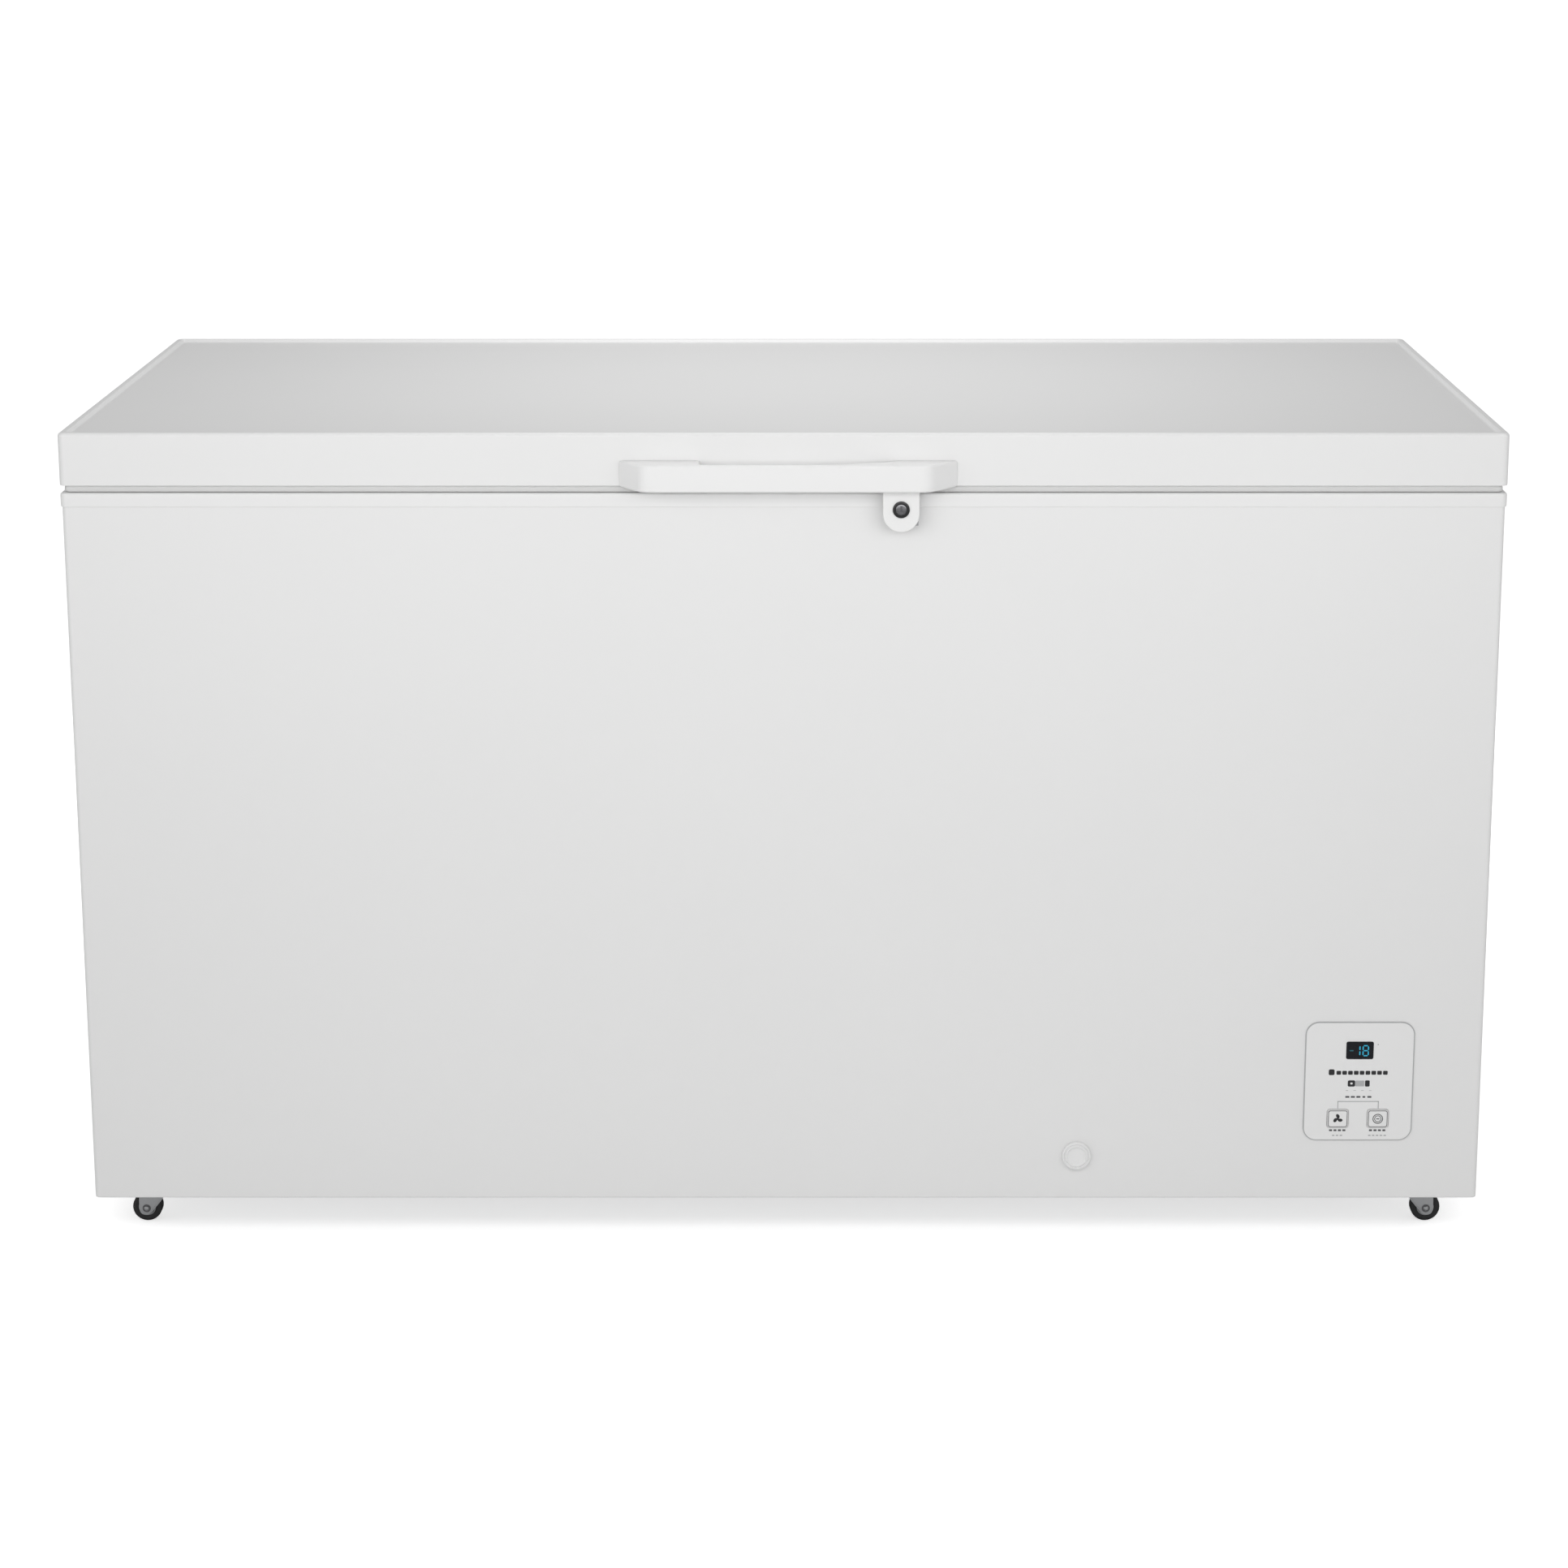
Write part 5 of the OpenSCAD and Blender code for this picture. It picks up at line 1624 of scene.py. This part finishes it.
@dataclass
class WireBaskets:
    """Two welded wire baskets that hang on the rim's ledge.

    Attributes:
        palette: the finishes.
        wire: radius of the thin wires.
        frame_wire: radius of the rim and rail wires.
        across: number of crosswise hoops.
        along: number of lengthwise hoops.
    """

    palette: Palette
    wire: float = 1.25
    frame_wire: float = 2.4
    across: int = 11
    along: int = 19

    def build(self) -> None:
        """Builds both baskets."""
        for body in ("left_basket", "right_basket"):
            self._basket(body)

    def _basket(self, body: str) -> None:
        """Builds one basket.

        Args:
            body: its CAD node and body.
        """
        low, high = box_mm(body)
        rail_y0, rail_y1 = low.y + 2.5, high.y - 2.5
        y0, y1 = low.y + 20.0 + 1.6, high.y - 20.0 - 1.6
        x0, x1, z0, z1 = low.x + 1.6, high.x - 1.6, low.z + 1.4, high.z - 2.5
        shape = Shape()
        for i in range(self.across):
            x = x0 + (x1 - x0) * (i + 0.5) / self.across
            hoop = [Vector((x, y0, z1)), Vector((x, y0, z0)), Vector((x, y1, z0)), Vector((x, y1, z1))]
            shape.tube(corner_path(hoop, 9.0, 4), self.wire, 6)
        for j in range(self.along):
            y = y0 + (y1 - y0) * (j + 0.5) / self.along
            hoop = [Vector((x0, y, z1)), Vector((x0, y, z0 + 0.6)), Vector((x1, y, z0 + 0.6)),
                    Vector((x1, y, z1))]
            shape.tube(corner_path(hoop, 9.0, 4), self.wire, 6)
        for level, thick in ((0.24, self.wire), (0.5, self.wire), (0.76, self.wire), (1.0, self.frame_wire)):
            z = z0 + (z1 - z0) * level
            loop = [Vector((x0, y0, z)), Vector((x1, y0, z)), Vector((x1, y1, z)), Vector((x0, y1, z))]
            shape.tube(corner_path(loop, 14.0, 5, closed=True), thick, 8, closed=True)
        for rail, wall in ((rail_y0, y0), (rail_y1, y1)):
            bow = [Vector((x0 + 19, wall, z1)), Vector((x0 + 19, rail, z1)), Vector((x1 - 19, rail, z1)),
                   Vector((x1 - 19, wall, z1))]
            shape.tube(corner_path(bow, 9.0, 5), self.frame_wire, 8)
        Piece(body + "_wires", body, "basket_wire", (body,), sharp=60).hand_over(
            shape.raw(body), self.palette)


@dataclass
class HingeSprings:
    """Coil springs wound round the hinge pins.

    Attributes:
        palette: the finishes.
        turns: number of coils.
        wire: radius of the wire.
        length: length of a spring.
        lead: how far the coils stand from the spring's ends.
        facets: points on each coil.
    """

    palette: Palette
    turns: int = 13
    wire: float = 1.25
    length: float = 38.0
    lead: float = 1.6
    facets: int = 18

    def build(self) -> None:
        """Builds both springs as real helices."""
        low, high = box_mm("hinge_springs")
        _, axis_y, axis_z = middle(low, high)
        r = (high.z - low.z) / 2 - self.wire - 0.1
        steps = self.turns * self.facets
        shape = Shape()
        for x0, x1 in ((low.x, low.x + self.length), (high.x - self.length, high.x)):
            path = []
            for k in range(steps + 1):
                a = 2 * math.pi * k / self.facets
                path.append(Vector((x0 + self.lead + (x1 - x0 - 2 * self.lead) * k / steps,
                                    axis_y + r * math.cos(a), axis_z + r * math.sin(a))))
            shape.tube(path, self.wire, 7)
        Piece("lid_spring_coils", "cabinet", "dark_steel", ("hinge_springs",), sharp=70).hand_over(
            shape.raw("lid_spring_coils"), self.palette)


# ---------------------------------------------------------------- studio


@dataclass
class SoftLight:
    """One area light.

    Attributes:
        name: its name.
        place: where it stands, in metres.
        target: where it points, in metres.
        size: its width and height, in metres.
        power: its power in watts.
    """

    name: str
    place: Place
    target: Place
    size: Point
    power: float

    def build(self) -> None:
        """Adds the light to the scene."""
        data = bpy.data.lights.new(self.name, "AREA")
        data.shape = "RECTANGLE"
        data.size, data.size_y = self.size
        data.energy = self.power
        made = bpy.data.objects.new(self.name, data)
        made.location = self.place
        way = Vector(self.target) - Vector(self.place)
        made.rotation_mode = "QUATERNION"
        made.rotation_quaternion = way.to_track_quat("-Z", "Y")
        made.visible_camera = False
        bpy.context.scene.collection.objects.link(made)


@dataclass
class Studio:
    """Pale floor, soft lights and the camera.

    Attributes:
        horizon: brightness of the room at eye level.
        zenith: brightness of the room overhead.
        behind: how much dimmer the room is behind the object.
        floor_lift: how much of its own light the floor gives off.
        lights: the area lights.
    """

    horizon: float = 0.9
    zenith: float = 0.42
    behind: float = 0.6
    floor_lift: float = 0.64
    lights: tuple[SoftLight, ...] = field(default_factory=lambda: (
        SoftLight("front_key", (0.0, -1.35, 1.04), (0.04, -0.34, 0.8), (2.4, 0.5), 7.6),
        SoftLight("lid_top", (0.0, 0.1, 1.75), (0.0, 0.1, 0.8), (0.9, 0.5), 4.6),
        SoftLight("rear_fill", (0.0, 2.1, 0.46), (0.0, 0.36, 0.44), (2.4, 0.5), 11.0),
    ))

    def build(self) -> None:
        """Builds the whole studio."""
        self._floor()
        self._room()
        for light in self.lights:
            light.build()
        self._camera()

    def _floor(self) -> None:
        """Large round pale floor with a faint even tone."""
        bm = bmesh.new()
        bmesh.ops.create_circle(bm, cap_ends=True, radius=40.0, segments=96)
        mesh = bpy.data.meshes.new("floor")
        bm.to_mesh(mesh)
        bm.free()
        floor = bpy.data.objects.new("floor", mesh)
        floor.location = (0, 0, -0.0002)
        bpy.context.scene.collection.objects.link(floor)
        material = bpy.data.materials.new("pale_floor")
        material.use_nodes = True
        tree = material.node_tree
        shader = tree.nodes["Principled BSDF"]
        set_inputs(shader, {"Roughness": 0.7, "Specular IOR Level": 0.2, "Emission Color": (1, 1, 1, 1)})
        noise = add_node(tree, "TexNoise", values={"Scale": 3.0})
        ramp = add_node(tree, "MapRange", values={"To Min": 0.93, "To Max": 0.95})
        path = add_node(tree, "LightPath")
        lift = add_node(tree, "Math", "MULTIPLY", {1: self.floor_lift})
        wire(tree, (noise.outputs["Fac"], ramp.inputs["Value"]),
             (ramp.outputs["Result"], shader.inputs["Base Color"]),
             (path.outputs["Is Camera Ray"], lift.inputs[0]),
             (lift.outputs[0], shader.inputs["Emission Strength"]))
        mesh.materials.append(material)

    def _room(self) -> None:
        """White room light, a little darker overhead and behind, and plain white to the camera."""
        world = bpy.data.worlds.new("white_room")
        bpy.context.scene.world = world
        world.use_nodes = True
        tree = world.node_tree
        back = tree.nodes["Background"]
        place = add_node(tree, "TexCoord")
        split = add_node(tree, "SeparateXYZ")
        height = add_node(tree, "MapRange", values={
            "From Min": 0.15, "From Max": 0.9, "To Min": self.horizon, "To Max": self.zenith})
        behind = add_node(tree, "MapRange", values={
            "From Min": -0.2, "From Max": 0.9, "To Min": 1.0, "To Max": self.behind})
        for ramp in (height, behind):
            ramp.interpolation_type = "SMOOTHSTEP"
        dim = add_node(tree, "Math", "MULTIPLY")
        path = add_node(tree, "LightPath")
        seen = add_node(tree, "Math", "MAXIMUM")
        wire(tree, (place.outputs["Generated"], split.inputs[0]),
             (split.outputs["Z"], height.inputs["Value"]),
             (split.outputs["Y"], behind.inputs["Value"]), (height.outputs["Result"], dim.inputs[0]),
             (behind.outputs["Result"], dim.inputs[1]), (dim.outputs[0], seen.inputs[0]),
             (path.outputs["Is Camera Ray"], seen.inputs[1]), (seen.outputs[0], back.inputs["Color"]))
        set_inputs(back, {"Strength": 1.0})

    def _camera(self) -> None:
        """Camera a little above the lid, looking slightly down."""
        data = bpy.data.cameras.new("camera")
        data.lens = 85.0
        data.sensor_width = 36.0
        data.shift_x = -0.028
        data.shift_y = -0.05
        camera = bpy.data.objects.new("camera", data)
        camera.location = (0.044, -3.971, 1.432)
        camera.rotation_euler = (math.radians(90 - 13.32), 0, 0)
        bpy.context.scene.collection.objects.link(camera)
        bpy.context.scene.camera = camera
        bpy.context.scene.view_settings.view_transform = "Standard"


# ---------------------------------------------------------------- assembly


def main() -> None:
    """Builds the freezer's looks in order."""
    logging.basicConfig(level=logging.INFO, format="%(name)s: %(message)s")
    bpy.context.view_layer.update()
    palette = Palette()
    palette.dress_frame()
    outline = Outline.of_lid()
    for part in (CabinetShell(palette, outline), InnerTub(palette), Lid(palette, outline), Handle(palette),
                 Lock(palette), ControlPanel(palette), DrainFittings(palette), Casters(palette),
                 WireBaskets(palette), HingeSprings(palette), Studio()):
        part.build()
        log.info("built %s", type(part).__name__)


if __name__ == "__main__":
    main()
